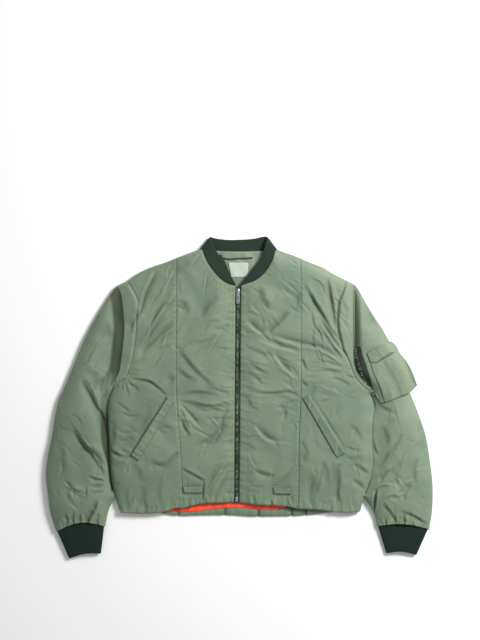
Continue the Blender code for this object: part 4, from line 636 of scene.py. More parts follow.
# ---------------------------------------------------------------- heights
FOLD_STRENGTH = 0.88    # of the tables' depths
DARKEST_DEPTH = 8.0     # of a fold that is shaded fully
FOLD_REACH = 4.2        # of a fold's width, as far as it changes the height
STEEP_SIDE = 0.75       # of the width, on a trough's side with the lip
SHALLOW_SIDE = 1.7      # and on its other side
CREST_AT = 1.4          # of the width, from the bottom of the trough to the top of its lip


def from_folded_edges(points):
    """Distance of plan points from the nearest folded edge."""
    return np.min([abs(beside(points, line)[0]) for line in FOLDED_EDGES], axis=0)


def close_to(points, line, reach):
    """Which plan points lie in the box round a line, widened by a reach."""
    low, high = line.min(0) - reach, line.max(0) + reach
    return np.flatnonzero(((points > low) & (points < high)).all(1))


def fold_heights(points, table):
    """Height that the folds of a table add, and the painted shade of each point down in a fold, 0
    to 1.
    """
    height = np.zeros(len(points))
    shade = np.zeros(len(points))
    for depth, width, sharp, lip, path in table:
        line = squares(path, 6.0)
        close = close_to(points, line, FOLD_REACH * width)
        if not len(close):
            continue
        distance, share = beside(points[close], line)
        swell = np.sin(math.pi * np.clip(share, 0, 1)) ** 0.7
        swell *= 1.0 + 0.18 * np.sin(share * 9.0 + depth * 3.0)
        across = distance / width * (-1.0 if lip < 0 else 1.0)
        steep = across / np.where(across > 0, STEEP_SIDE, SHALLOW_SIDE if lip else 1.0)
        trough = (1 - sharp) * np.exp(-steep**2) + sharp * np.exp(-1.6 * abs(steep))
        past = (across - CREST_AT) / np.where(across < CREST_AT, 0.6, 1.5)
        crest = abs(lip) * ((1 - sharp) * np.exp(-past**2) + sharp * np.exp(-1.3 * abs(past)))
        height[close] += FOLD_STRENGTH * depth * swell * (crest - trough)
        # painted shade, darker down in deeper troughs
        shade[close] = np.maximum(shade[close], min(abs(depth) / DARKEST_DEPTH, 1.0) * swell
                                  * trough * (depth > 0))
    return height, shade


def zip_x(y):
    """The zip's centre line."""
    t = (y - ZIP_TOP[1]) / (ZIP_FOOT[1] - ZIP_TOP[1])
    return ZIP_TOP[0] + t * (ZIP_FOOT[0] - ZIP_TOP[0])


ZIP_DIP = 5.0           # the fronts sink towards the zip
ZIP_DIP_REACH = 34.0
HEM_DIP = 5.0           # and towards the hem
HEM_DIP_REACH = 120.0
EDGE_ROUND = 5.0        # the folded front edge and hem round over within this
EDGE_DROP = 3.2         # and drop by this
EDGE_STEP = 3.0         # the cap strip's fold drops over this
# The pleat beyond the cap strip's fold: its edge's drop, the valley's further drop, how far off
# its bottom lies, how wide it rises again and how it bends. Then the strip's width and puff, how
# dark the hollow's painted shade is and how far that painted shade reaches.
PLEAT = {
    "right": {"edge": 4.0, "drop": 12.0, "bottom": 26.0, "rise": 74.0, "bend": 1.4,
              "strip": 30.0, "puff": 3.0, "dark": 1.0, "reach": 26.0},
    "left": {"edge": 9.5, "drop": 5.5, "bottom": 6.0, "rise": 20.0, "bend": 2.0, "strip": 34.0,
             "puff": 7.0, "dark": 0.65, "reach": 16.0},
}
# dark is the painted shade in the valley beside the body
SIDE_VALLEY = {         # where a sleeve dips beside the body
    "right": {"dark": 1.6, "reach": 21.0, "depth": 8.0},
    "left": {"dark": 0.3, "reach": 4.0, "depth": 0.0},
}
SHALLOW_SIDE_SEAM = 9.0         # how much nearer the left side's layers meet, lower down
SLEEVE_CROWN = 5.0
SLEEVE_ROLL = 64.0      # a sleeve is round nearly all the way across
SLEEVE_ROLL_IN = 70.0   # from the armhole, where it starts with the body's roll
CUFF_DIP = 8.0          # the sleeves sink towards the cuffs
CUFF_DIP_REACH = 70.0


def side_valley(points, hand):
    """How far each point of a sleeve lies in the valley beside the body, 0 to 1."""
    distance, share = beside(points, LINES[hand]["side"])
    reach = SIDE_VALLEY[hand]["reach"] * (1.0 - 0.68 * ease((share - 0.45) / 0.3))
    near = 1.0 - ease((abs(distance) - 0.65 * reach) / (0.4 * reach))
    near *= 0.4 + 0.6 * ease((share - 0.12) / 0.22)
    return near * ease(share / 0.1) * (1.0 - ease((share - 0.92) / 0.08))


HEM = np.vstack([join(LINES["right"]["hem_side"][::-1], LINES["right"]["hem_centre"][::-1]),
                 join(LINES["left"]["hem_centre"], LINES["left"]["hem_side"])])
HEM = HEM[np.argsort(HEM[:, 0])]


def above_hem(points):
    """Distance of plan points above the fronts' hem."""
    return points[:, 1] - np.interp(points[:, 0], HEM[:, 0], HEM[:, 1])


def front_relief(points):
    """What the fronts sink by at the zip and the hem, and their gathers there."""
    from_zip = abs(points[:, 0] - zip_x(points[:, 1]))
    from_hem = above_hem(points)
    low = ZIP_DIP * np.exp(-(from_zip / ZIP_DIP_REACH) ** 2)
    low += HEM_DIP * (1.0 - ease(from_hem / HEM_DIP_REACH))
    near_hem = np.exp(-(from_hem / 22.0) ** 2)
    gathers = ripple(points[:, 0], 21.0, 4) * near_hem * 1.5
    gathers += ripple(points[:, 0] + 0.3 * points[:, 1], 9.0, 5) * near_hem * 0.5
    near_zip = np.exp(-((from_zip - 9.0) / 16.0) ** 2)
    gathers += ripple(points[:, 1] + 0.25 * from_zip, 19.0, 6 + (points[0, 0] > 0)) * near_zip * 0.9
    from_edge = np.minimum(from_zip - ZIP_HALF + 0.4, from_hem + 0.4)
    return gathers - low - EDGE_DROP * (1.0 - quarter_round(from_edge / EDGE_ROUND))


def beyond_pleat(points, hand):
    """Distance of plan points beyond the cap strip's fold, and their share along it."""
    distance, share = beside(points, LINES[hand]["pleat"])
    return distance * (1.0 if hand == "left" else -1.0), share


def sleeve_relief(points):
    """The pleat beside the cap strip, the sleeve's crown and its sinking to the cuff."""
    hand = hand_of(points)
    fold, pleat = LINES[hand]["pleat"], PLEAT[hand]
    beyond, share = beyond_pleat(points, hand)
    beyond = np.where((share >= 0.999) | (points[:, 1] < fold[-1, 1]), abs(beyond), beyond)
    fade = 1.0 - 0.5 * ease((share - 0.8) / 0.2)
    back_up = (1.0 - np.clip((beyond - pleat["bottom"]) / pleat["rise"], 0, 1)) ** pleat["bend"]
    valley = np.clip(beyond / pleat["bottom"], 0, 1) * back_up
    drop = (pleat["edge"] * ease((beyond + 0.5) / EDGE_STEP) * back_up
            + pleat["drop"] * valley) * fade
    from_seam = abs(beside(points, LINES[hand]["armhole"])[0])
    strip = (beyond < 0) * ease(from_seam / 7.0) * (1.0 - ease((share - 0.75) / 0.25))
    puff = strip * pleat["puff"] * np.clip(-beyond / pleat["strip"], 0, 1)
    crown = SLEEVE_CROWN * ease(beyond / 80.0)
    to_cuff = abs(beside(points, LINES[hand]["mouth"])[0])
    dip = CUFF_DIP * ease(1.0 - to_cuff / CUFF_DIP_REACH)
    around = points @ np.array([1.0, -0.15])
    gathers = ripple(around, 15.0, 21 + (hand == "left")) * np.exp(-(to_cuff / 16.0) ** 2) * 1.6
    return crown - drop - dip + gathers + puff


def pleat_shade(points):
    """Painted shade of each point of a sleeve, 0 to 1: in the hollow beside the cap strip and in
    the valley beside the body.
    """
    hand = hand_of(points)
    pleat = PLEAT[hand]
    beyond, share = beyond_pleat(points, hand)
    shade = ease((beyond + 0.5) / EDGE_STEP) * (1.0 - ease((beyond - pleat["reach"]) / 6.0))
    shade *= pleat["dark"] * (1.0 - 0.8 * ease((share - 0.8) / 0.2))
    return np.maximum(shade, SIDE_VALLEY[hand]["dark"] * side_valley(points, hand))


FOLDS += small_creases(CREASE_ZONES, 7)
BACK_FOLDS += small_creases(BACK_ZONES, 9)

STITCH_ROWS = [         # topstitched rows on the fronts, in layout squares
    [(232.7, 290), (232.4, 400), (231.2, 500)],
    [(242.3, 288), (242.0, 400), (241.2, 500)],
    [(247.1, 290), (246.9, 400), (246.0, 500)],
    [(232.5, 288), (220, 281), (211, 270.5), (203.5, 257)],
    [(229, 289.5), (217, 282.5), (208.2, 272), (201.5, 260)],
    [(243, 288.2), (255, 284.2), (264, 277), (272.5, 264)],
]
ROW_GROOVE = 0.5
ROW_PUCKERS = [0.3, 0.75, 0.3, 0.3, 0.3, 0.3]
SEAM_REACH = 26.0       # as far as a seam changes the height
SEAM_LINES = [          # path, groove depth, pucker height, pucker wavelength
    (squares(row), ROW_GROOVE, pucker, 11.0) for row, pucker in zip(STITCH_ROWS, ROW_PUCKERS)]
for hand in HANDS:
    line = LINES[hand]
    SEAM_LINES += [
        (line["princess"], 0.7, 0.55, 13.0),
        (line["armhole"], 1.4, 0.7, 11.0),
        (line["neck"] + np.array([0.0, -2.0]), 0.8, 0.35, 9.0),
    ]


def seam_heights(points):
    """Grooves along the seams, and the puckers that cross them."""
    total = np.zeros(len(points))
    for number, (path, groove, pucker, wavelength) in enumerate(SEAM_LINES):
        close = close_to(points, path, SEAM_REACH)
        if not len(close):
            continue
        distance, share = beside(points[close], path)
        run = share * length_of(path)
        inside = (share > 0.002) & (share < 0.998)
        total[close] -= inside * groove * np.exp(-abs(distance) / 1.7)
        for sign in (-1, 1):
            waves = ripple(run + 0.35 * abs(distance), wavelength, 40 + 2 * number + sign)
            fade = np.exp(-(distance / 11.0) ** 2) * (distance * sign >= 0)
            total[close] += inside * pucker * waves * fade * (1 - np.exp(-abs(distance) / 1.5))
    return total


def lower_roll(distance):
    """Height of the lower layer's rolled edge at a distance from the folded edges."""
    return FOLD_HEIGHT * (1.0 - quarter_round(distance / ROLL_LOWER))


def upper_height(points, relief):
    """Height of the upper layer's outer face, and the painted shade of each point in folds and
    hollows.
    """
    distance = from_folded_edges(points)
    least = np.maximum(LEAST_HEIGHT, lower_roll(distance) + TWO_WALLS * ease(distance / 1.5))
    x, y = points.T
    low_side = (x > 0.0) * ease((-20.0 - y) / 50.0) * ease((y + 215.0) / 40.0)
    from_side = beside(points, LINES["left"]["side"])[0]
    distance += SHALLOW_SIDE_SEAM * low_side * np.exp(-(from_side / 12.0) ** 2)
    roll = ROLL_UPPER
    if relief is sleeve_relief:
        hand = hand_of(points)
        from_seam = abs(beside(points, LINES[hand]["armhole"])[0])
        roll = ROLL_UPPER + (SLEEVE_ROLL - ROLL_UPPER) * ease(from_seam / SLEEVE_ROLL_IN)
    arch = quarter_round(distance / roll)
    folds, shade = fold_heights(points, FOLDS)
    soft = 0.7 * lumps(points, 95.0, 3)
    soft += 2.1 * facets(points, 78.0, 1.5, 35, 8) + 1.1 * facets(points, 34.0, 1.6, -20, 12)
    inward = ease(distance / 9.0)
    height = FOLD_HEIGHT + LOFT * arch + relief(points) * arch**2
    height += inward * (folds + soft + seam_heights(points))
    shade = shade * inward
    if relief is sleeve_relief:
        # painted shade in the pleat's hollow and in the valley beside the body
        shade = np.maximum(shade, pleat_shade(points))
        height -= SIDE_VALLEY[hand]["depth"] * side_valley(points, hand) * ease(distance / 4.0)
    return np.maximum(height, least), shade


def lower_height(points):
    """Height of the lower layer's outer face, which lies on the surface."""
    distance = from_folded_edges(points)
    folds, shade = fold_heights(points, BACK_FOLDS)
    inner_parts = ease((255.0 - points[:, 1]) / 30.0) * ease((points[:, 1] + 225.0) / 30.0)
    rise = (0.5 + 0.5 * lumps(points, 120.0, 33).clip(-1, 1)) * 0.6 - folds
    height = lower_roll(distance) + rise * ease(distance / 20.0) * inner_parts
    return np.maximum(height, 0.0), shade


# ---------------------------------------------------------------- building pieces
pieces_body = {}


def keep(name, mesh, materials, body="jacket"):
    """Link a finished mesh as a piece that rides on a body."""
    piece = bpy.data.objects.new(name, mesh)
    bpy.context.scene.collection.objects.link(piece)
    for material in materials:
        mesh.materials.append(material)
    mesh.shade_smooth()
    pieces_body[piece] = body
    return piece


def patch(top, foot, inner, outer, step=None, counts=None):
    """Plan points, row by row, of the panel between four lines that meet at its corners.

    top and foot run from the inner line to the outer one, inner and outer from top to foot.
    """
    if counts is None:
        counts = [max(2, math.ceil(max(length_of(one), length_of(other)) / step))
                  for one, other in ((inner, outer), (top, foot))]
    v, u = (np.linspace(0, 1, count + 1) for count in counts)
    top_at, foot_at = along(top, u)[None], along(foot, u)[None]
    inner_at, outer_at = along(inner, v)[:, None], along(outer, v)[:, None]
    u, v = u[None, :, None], v[:, None, None]
    corners = ((1 - u) * (1 - v) * top[0] + u * (1 - v) * top[-1]
               + (1 - u) * v * foot[0] + u * v * foot[-1])
    return (1 - v) * top_at + v * foot_at + (1 - u) * inner_at + u * outer_at - corners


def grid_through(places, calc_uvs=False):
    """A bmesh grid through places, and the row and column of each of its points."""
    rows, cols = places.shape[:2]
    bm = bmesh.new()
    bmesh.ops.create_grid(bm, x_segments=cols - 1, y_segments=rows - 1, size=1.0,
                          calc_uvs=calc_uvs)
    spread = np.array([vert.co[:2] for vert in bm.verts])
    col, row = np.rint((spread + 1) / 2 * (cols - 1, rows - 1)).astype(int).T
    for vert, place in zip(bm.verts, places[row, col] * MM):
        vert.co = place
    return bm, row, col


def stand_for(node):
    """Let a piece take the place of its CAD node."""
    if node:
        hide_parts(node)


def cloth_from(name, places, materials, thickness, faces, shade):
    """A cloth wall whose outer face goes through a grid of places, in millimetres."""
    bm, row, col = grid_through(places)
    mesh = bpy.data.meshes.new(name)
    bm.normal_update()
    middle = sum(face.normal.z for face in bm.faces)
    if (middle < 0) == (faces == "up"):
        bmesh.ops.reverse_faces(bm, faces=bm.faces)
    bm.to_mesh(mesh)
    bm.free()
    # painted shade, kept on the points for the material
    if shade is not None:
        layer = mesh.attributes.new("painted_shade", "FLOAT", "POINT")
        layer.data.foreach_set("value", shade[row, col])
    if materials is CASED:
        centres = np.array([face.center[:2] for face in mesh.polygons]) / MM
        cased = (centres[:, 1] < CASING_TOP) | (from_folded_edges(centres) < SEAM_ALLOWANCE)
        mesh.polygons.foreach_set("material_index", 2 * cased)
    piece = keep(name, mesh, materials)
    wall = piece.modifiers.new("cloth_thickness", "SOLIDIFY")
    wall.thickness = thickness * MM
    wall.offset = -1.0
    if len(materials) > 1:
        wall.material_offset = 1
    return piece


def declare(grid):
    """Work out the flat cut of a cloth piece from its plan; the result is not used."""
    across = np.linalg.norm(np.diff(grid, axis=1), axis=2).sum(1).max() * MM
    down = np.linalg.norm(np.diff(grid, axis=0), axis=2).sum(0).max() * MM
    across, down = max(across, NARROWEST_CUT), max(down, NARROWEST_CUT)


def with_height(grid, height):
    """A plan grid and a height for each of its points, as places."""
    return np.concatenate([grid, height.reshape(*grid.shape[:2], 1)], 2)


def raised(grid, relief=front_relief, lift=0.0):
    """Plan grid to places on the upper layer or a lift above it, and their painted shade."""
    height, shade = upper_height(grid.reshape(-1, 2), relief)
    return with_height(grid, height + lift), shade.reshape(grid.shape[:2])


def laid(grid):
    """Plan grid to places on the lower layer, and their painted shade."""
    height, shade = lower_height(grid.reshape(-1, 2))
    return with_height(grid, height), shade.reshape(grid.shape[:2])


# ---------------------------------------------------------------- finishes
def feed(tree, socket, value):
    """Link an output to a socket, or give the socket a plain value."""
    if isinstance(value, bpy.types.NodeSocket):
        tree.links.new(value, socket)
    elif value is not None:
        socket.default_value = value


def settings(tree, node, **values):
    """Feed a node's inputs by name, with _ for a space."""
    for name, value in values.items():
        feed(tree, node.inputs[name.replace("_", " ")], value)
    return node


def group_node(tree, group, **values):
    node = tree.nodes.new("ShaderNodeGroup")
    node.node_tree = group
    return settings(tree, node, **values)


def new_group(name, inputs, outputs):
    """An empty node group with named float or colour sockets."""
    group = bpy.data.node_groups.new(name, "ShaderNodeTree")
    for direction, sockets in (("INPUT", inputs), ("OUTPUT", outputs)):
        for socket, kind in sockets.items():
            group.interface.new_socket(name=socket, in_out=direction,
                                       socket_type="NodeSocket" + kind)
    return group, group.nodes.new("NodeGroupInput"), group.nodes.new("NodeGroupOutput")


def math_node(tree, operation, *values, clamp=False):
    node = tree.nodes.new("ShaderNodeMath")
    node.operation = operation
    node.use_clamp = clamp
    for socket, value in zip(node.inputs, values):
        feed(tree, socket, value)
    return node.outputs[0]


def scaled(tree, color, factor):
    node = tree.nodes.new("ShaderNodeVectorMath")
    node.operation = "SCALE"
    feed(tree, node.inputs[0], color)
    feed(tree, node.inputs["Scale"], factor)
    return node.outputs[0]


def mapped(tree, vector, **values):
    node = tree.nodes.new("ShaderNodeMapping")
    return settings(tree, node, Vector=vector, **values).outputs[0]


def mix_colors(tree, share, first, second):
    node = tree.nodes.new("ShaderNodeMix")
    node.data_type = "RGBA"
    for number, value in zip((0, 6, 7), (share, first, second)):
        feed(tree, node.inputs[number], value)
    return node.outputs[2]


def noise_on(tree, vector, scale, detail=2.0, roughness=0.5, distortion=0.0):
    node = tree.nodes.new("ShaderNodeTexNoise")
    settings(tree, node, Vector=vector, Scale=scale, Detail=detail, Roughness=roughness,
             Distortion=distortion)
    return node.outputs["Fac"]


def painted_shade(tree):
    """The painted shade marked on each point: in folds, hollows, gaps and ribs' valleys."""
    node = tree.nodes.new("ShaderNodeAttribute")
    node.attribute_name = "painted_shade"
    return node.outputs["Fac"]


def coords_of(tree, kind="Object"):
    return tree.nodes.new("ShaderNodeTexCoord").outputs[kind]


def make_weave_group():
    """Fine satin twill with slubs: a height, and a faint thread tone."""
    group, into, out = new_group(
        "satin_weave", {"Threads per metre": "Float", "Slub": "Float"},
        {"Height": "Float", "Tone": "Float"})
    coords = coords_of(group)
    turned = mapped(group, coords, Rotation=(0.0, 0.0, math.radians(62)))
    twill = group.nodes.new("ShaderNodeTexWave")
    twill.bands_direction = "X"
    settings(group, twill, Vector=turned, Scale=into.outputs["Threads per metre"],
             Distortion=0.6, Detail=1.0)
    slubs = noise_on(group, mapped(group, coords, Scale=(1.0, 0.12, 1.0)), 900.0, 2.0)
    slub_part = math_node(group, "MULTIPLY", slubs, into.outputs["Slub"])
    settings(group, out, Height=math_node(group, "ADD", twill.outputs["Fac"], slub_part),
             Tone=slubs)
    return group


def make_tone_group():
    """Broad uneven colour of a cloth between a warm and a cool cast, with painted shade down in
    folds.
    """
    group, into, out = new_group(
        "cloth_tone", {"Warm": "Color", "Cool": "Color", "Deep": "Color", "Thread": "Float"},
        {"Color": "Color", "Gloss": "Float"})
    coords = coords_of(group)
    broad = noise_on(group, coords, 11.0, 3.0, 0.55, 0.6)
    ramp = group.nodes.new("ShaderNodeMapRange")
    settings(group, ramp, Value=broad, From_Min=0.36, From_Max=0.64)
    cast = mix_colors(group, ramp.outputs[0], into.outputs["Warm"], into.outputs["Cool"])
    # painted shade: the cast mixes towards the shade colour as the marks grow
    painted_shade_share = math_node(group, "MULTIPLY", painted_shade(group), 0.62, clamp=True)
    deep = mix_colors(group, painted_shade_share, cast, into.outputs["Deep"])
    spread = math_node(group, "SUBTRACT", noise_on(group, coords, 240.0, 2.0), 0.5)
    uneven = math_node(group, "MULTIPLY", spread, into.outputs["Thread"])
    light = math_node(group, "ADD", uneven, 1.0)
    settings(group, out, Color=scaled(group, deep, light), Gloss=broad)
    return group


def make_crumple_group():
    """Small soft creases of a light cloth, as a height."""
    group, into, out = new_group("crumple", {"Size": "Float", "Amount": "Float"},
                                 {"Height": "Float"})
    stretched = mapped(group, coords_of(group), Scale=(1.0, 0.55, 1.0),
                       Rotation=(0.0, 0.0, math.radians(-35)))
    first = noise_on(group, stretched, into.outputs["Size"], 3.0, 0.5, 1.2)
    folded = math_node(group, "ABSOLUTE", math_node(group, "SUBTRACT", first, 0.5))
    crease = math_node(group, "POWER", folded, 0.7)
    settings(group, out, Height=math_node(group, "MULTIPLY", crease, into.outputs["Amount"]))
    return group


WEAVE = make_weave_group()
TONE = make_tone_group()
CRUMPLE = make_crumple_group()


def new_material(name):
    material = bpy.data.materials.new(name)
    material.use_nodes = True
    return material, material.node_tree, material.node_tree.nodes["Principled BSDF"]


def bump(tree, shader, height, distance, strength):
    node = tree.nodes.new("ShaderNodeBump")
    settings(tree, node, Distance=distance, Strength=strength, Height=height)
    settings(tree, shader, Normal=node.outputs[0])


def satin(name, warm, cool, deep, crumple=0.25, sheen=0.1, roughness=0.5):
    """Nylon satin: a soft gloss, a cast shifting between warm and cool, fine twill, painted shade
    in folds.
    """
    material, tree, shader = new_material(name)
    tone = group_node(tree, TONE, Warm=warm, Cool=cool, Deep=deep, Thread=0.06)
    weave = group_node(tree, WEAVE, Threads_per_metre=700.0, Slub=0.6)
    creases = group_node(tree, CRUMPLE, Size=26.0, Amount=crumple)
    gloss = math_node(tree, "MULTIPLY_ADD", tone.outputs["Gloss"], 0.10, roughness - 0.05)
    settings(tree, shader, Base_Color=tone.outputs["Color"], Roughness=gloss,
             Specular_IOR_Level=0.5, Sheen_Weight=sheen, Sheen_Roughness=0.4,
             Sheen_Tint=(0.75, 0.9, 0.72, 1.0))
    thread_height = math_node(tree, "MULTIPLY", weave.outputs["Height"], 0.06)
    height = math_node(tree, "ADD", thread_height, creases.outputs["Height"])
    bump(tree, shader, height, 0.0030, 0.6)
    return material


def knit(name, face, valley, sheen):
    """Matt double rib: loops up and down the ribs, with painted shade in the valleys."""
    material, tree, shader = new_material(name)
    loops = tree.nodes.new("ShaderNodeTexWave")
    loops.bands_direction = "Y"
    settings(tree, loops, Vector=coords_of(tree, "UV"), Scale=160.0, Distortion=1.2)
    fuzz = noise_on(tree, coords_of(tree), 700.0, 3.0)
    # painted shade: the ribs' valleys take the dark valley colour
    color = mix_colors(tree, painted_shade(tree), face, valley)
    uneven = math_node(tree, "MULTIPLY_ADD", fuzz, 0.7, 0.65)
    settings(tree, shader, Base_Color=scaled(tree, color, uneven), Roughness=0.9,
             Specular_IOR_Level=0.25, Sheen_Weight=sheen, Sheen_Roughness=0.5,
             Sheen_Tint=(0.35, 0.5, 0.42, 1.0))
    height = math_node(tree, "ADD", math_node(tree, "MULTIPLY", loops.outputs["Fac"], 0.5), fuzz)
    bump(tree, shader, height, 0.0006, 0.6)
    return material


def woven(name, color, dark, roughness, threads):
    """A plain matt weave, such as zip tape, thread or a label."""
    material, tree, shader = new_material(name)
    weave = group_node(tree, WEAVE, Threads_per_metre=threads, Slub=0.8)
    settings(tree, shader, Base_Color=mix_colors(tree, weave.outputs["Tone"], dark, color),
             Roughness=roughness, Sheen_Weight=0.1)
    bump(tree, shader, weave.outputs["Height"], 0.0003, 0.5)
    return material


def metal(name, color, dull, roughness, patch_scale=420.0, contrast=1.0, dull_share=0.5):
    """Cast zip metal with rubbed, dulled patches; on the zip teeth the bright patches are painted
    glints.
    """
    material, tree, shader = new_material(name)
    coords = coords_of(tree)
    uneven = noise_on(tree, coords, patch_scale, 3.0)
    patches = math_node(tree, "MULTIPLY_ADD", uneven, contrast, dull_share - 0.5 * contrast,
                        clamp=True)
    settings(tree, shader, Base_Color=mix_colors(tree, patches, color, dull), Metallic=1.0,
             Roughness=math_node(tree, "MULTIPLY_ADD", patches, 0.2, roughness - 0.1))
    bump(tree, shader, noise_on(tree, coords, 1500.0, 2.0), 0.0001, 0.4)
    return material


# The last colour of each satin is its painted shade, for folds, hollows, grooves and gaps.
SATIN = satin("sage_satin", (0.182, 0.236, 0.150, 1), (0.141, 0.214, 0.138, 1),
              (0.032, 0.044, 0.018, 1))
FACING = satin("sage_facing", (0.225, 0.270, 0.195, 1), (0.170, 0.235, 0.162, 1),
               (0.03, 0.04, 0.03, 1), crumple=0.6)
# The hem facing is the outer satin made darker, painted shade under the fronts' hem; its last
# colour is the painted shade in the casing's tucks.
HEM_FACING = satin("sage_hem_facing", (0.155, 0.220, 0.150, 1), (0.128, 0.196, 0.128, 1),
                   (0.010, 0.015, 0.010, 1), crumple=0.5)
ORANGE = satin("orange_lining", (1.0, 0.090, 0.030, 1), (0.96, 0.075, 0.026, 1),
               (0.45, 0.04, 0.02, 1), crumple=0.8, sheen=0.05)
KNIT = knit("dark_green_rib", (0.027, 0.054, 0.035, 1), (0.005, 0.012, 0.008, 1), sheen=0.08)
# The cuffs' rib is the collar's rib made darker: painted shade.
CUFF_KNIT = knit("dark_green_rib_cuff", (0.015, 0.036, 0.027, 1), (0.002, 0.006, 0.005, 1),
                 sheen=0.04)
TAPE = woven("dark_green_zip_tape", (0.027, 0.050, 0.032, 1), (0.012, 0.024, 0.016, 1),
             roughness=0.85, threads=700)
THREAD = woven("sage_thread", (0.20, 0.26, 0.18, 1), (0.12, 0.16, 0.11, 1),
               roughness=0.6, threads=1500)
LABEL = woven("off_white_label", (0.55, 0.60, 0.52, 1), (0.45, 0.49, 0.42, 1),
              roughness=0.8, threads=900)
# The teeth are dark metal; their bright specks are painted glints.
TEETH = metal("teeth_with_painted_glints", (0.86, 0.92, 0.82, 1), (0.09, 0.14, 0.09, 1), 0.38,
              patch_scale=150.0, contrast=4.5, dull_share=0.72)
NICKEL = metal("bright_nickel", (0.72, 0.74, 0.74, 1), (0.50, 0.52, 0.53, 1), 0.26)


# ---------------------------------------------------------------- fronts, back and sleeves
CASED = [SATIN, ORANGE, SATIN, SATIN]   # outside and inside, and the same where it is cased


def dress(name, grid, places, node, materials=CASED, thickness=CLOTH, faces="up",
          shade=None):
    """A cloth piece on its places, standing for its CAD node."""
    piece = cloth_from(name, places, materials, thickness, faces, shade)
    declare(grid)
    stand_for(node)


SEAM_TUCK = 2.2         # a panel's edge runs this far under its neighbour
TUCK_SINK = 1.7         # and sinks by this


def tucked(places, amount):
    """The places with one more column, turned under beyond the last one by an amount, 0 to 1."""
    edge, before = places[:, -1], places[:, -2]
    way = edge - before
    way[:, 2] = 0.0
    way /= np.linalg.norm(way, axis=1, keepdims=True)
    under = edge + way * SEAM_TUCK * amount[:, None]
    under[:, 2] -= TUCK_SINK * amount
    return np.concatenate([places, under[:, None]], 1)


for hand in HANDS:
    line = LINES[hand]
    zip_edge = np.array([line["neck"][0], line["hem_centre"][0]])
    grid = patch(join(line["neck"], line["near_neck"]), line["hem_centre"], zip_edge,
                 line["princess"], CLOTH_STEP)
    places, shade = raised(grid)
    dress(f"front_{hand}_centre_cloth", grid, places, f"front_{hand}_centre",
          shade=shade)
    outer = join(line["armhole"], line["side"], line["side_foot"])
    grid = patch(line["near_sleeve"], line["hem_side"], line["princess"], outer, CLOTH_STEP)
    places, shade = raised(grid)
    places = tucked(places, ease((grid[:, -1, 1] + 60.0) / 40.0))
    dress(f"front_{hand}_side_cloth", grid, places, f"front_{hand}_side",
          shade=np.hstack([shade, shade[:, -1:]]))

right, left = LINES["right"], LINES["left"]
top = join(right["shoulder"][::-1], smooth(NECK_BACK), left["shoulder"])
grid = patch(top, smooth(HEM_BACK), join(right["armhole"], right["side"], right["side_foot"]),
             join(left["armhole"], left["side"], left["side_foot"]), BACK_STEP)
places, shade = laid(grid)
dress("back_cloth", grid, places, "back", faces="down", shade=shade)


def bowed(start, end, bow, count=40):
    """A line between two points, bowed in its middle by a step in the plan."""
    share = np.linspace(0.0, 1.0, count + 1)[:, None]
    return start + share * (end - start) + np.array(bow) * np.sin(math.pi * share)


def on_line(line, y):
    """The share of a line that runs down the plan at which it has the height y."""
    reach = run_of(line)
    order = np.argsort(line[:, 1])
    return np.interp(y, line[order, 1], reach[order] / reach[-1])


SLOPE_LIMIT = 1.2       # of the rows' spacing, so that no row runs over the next
NARROW_LINES = 5        # lines nearest the cuff, which don't count for the number of columns
PLEAT_ROWS = {"above": 5.0, "below": 11.0, "step": 0.45}    # the finer rows round the pleat
EDGE_PULL = 6           # how steeply a row's bend back to the exact edges fades inwards


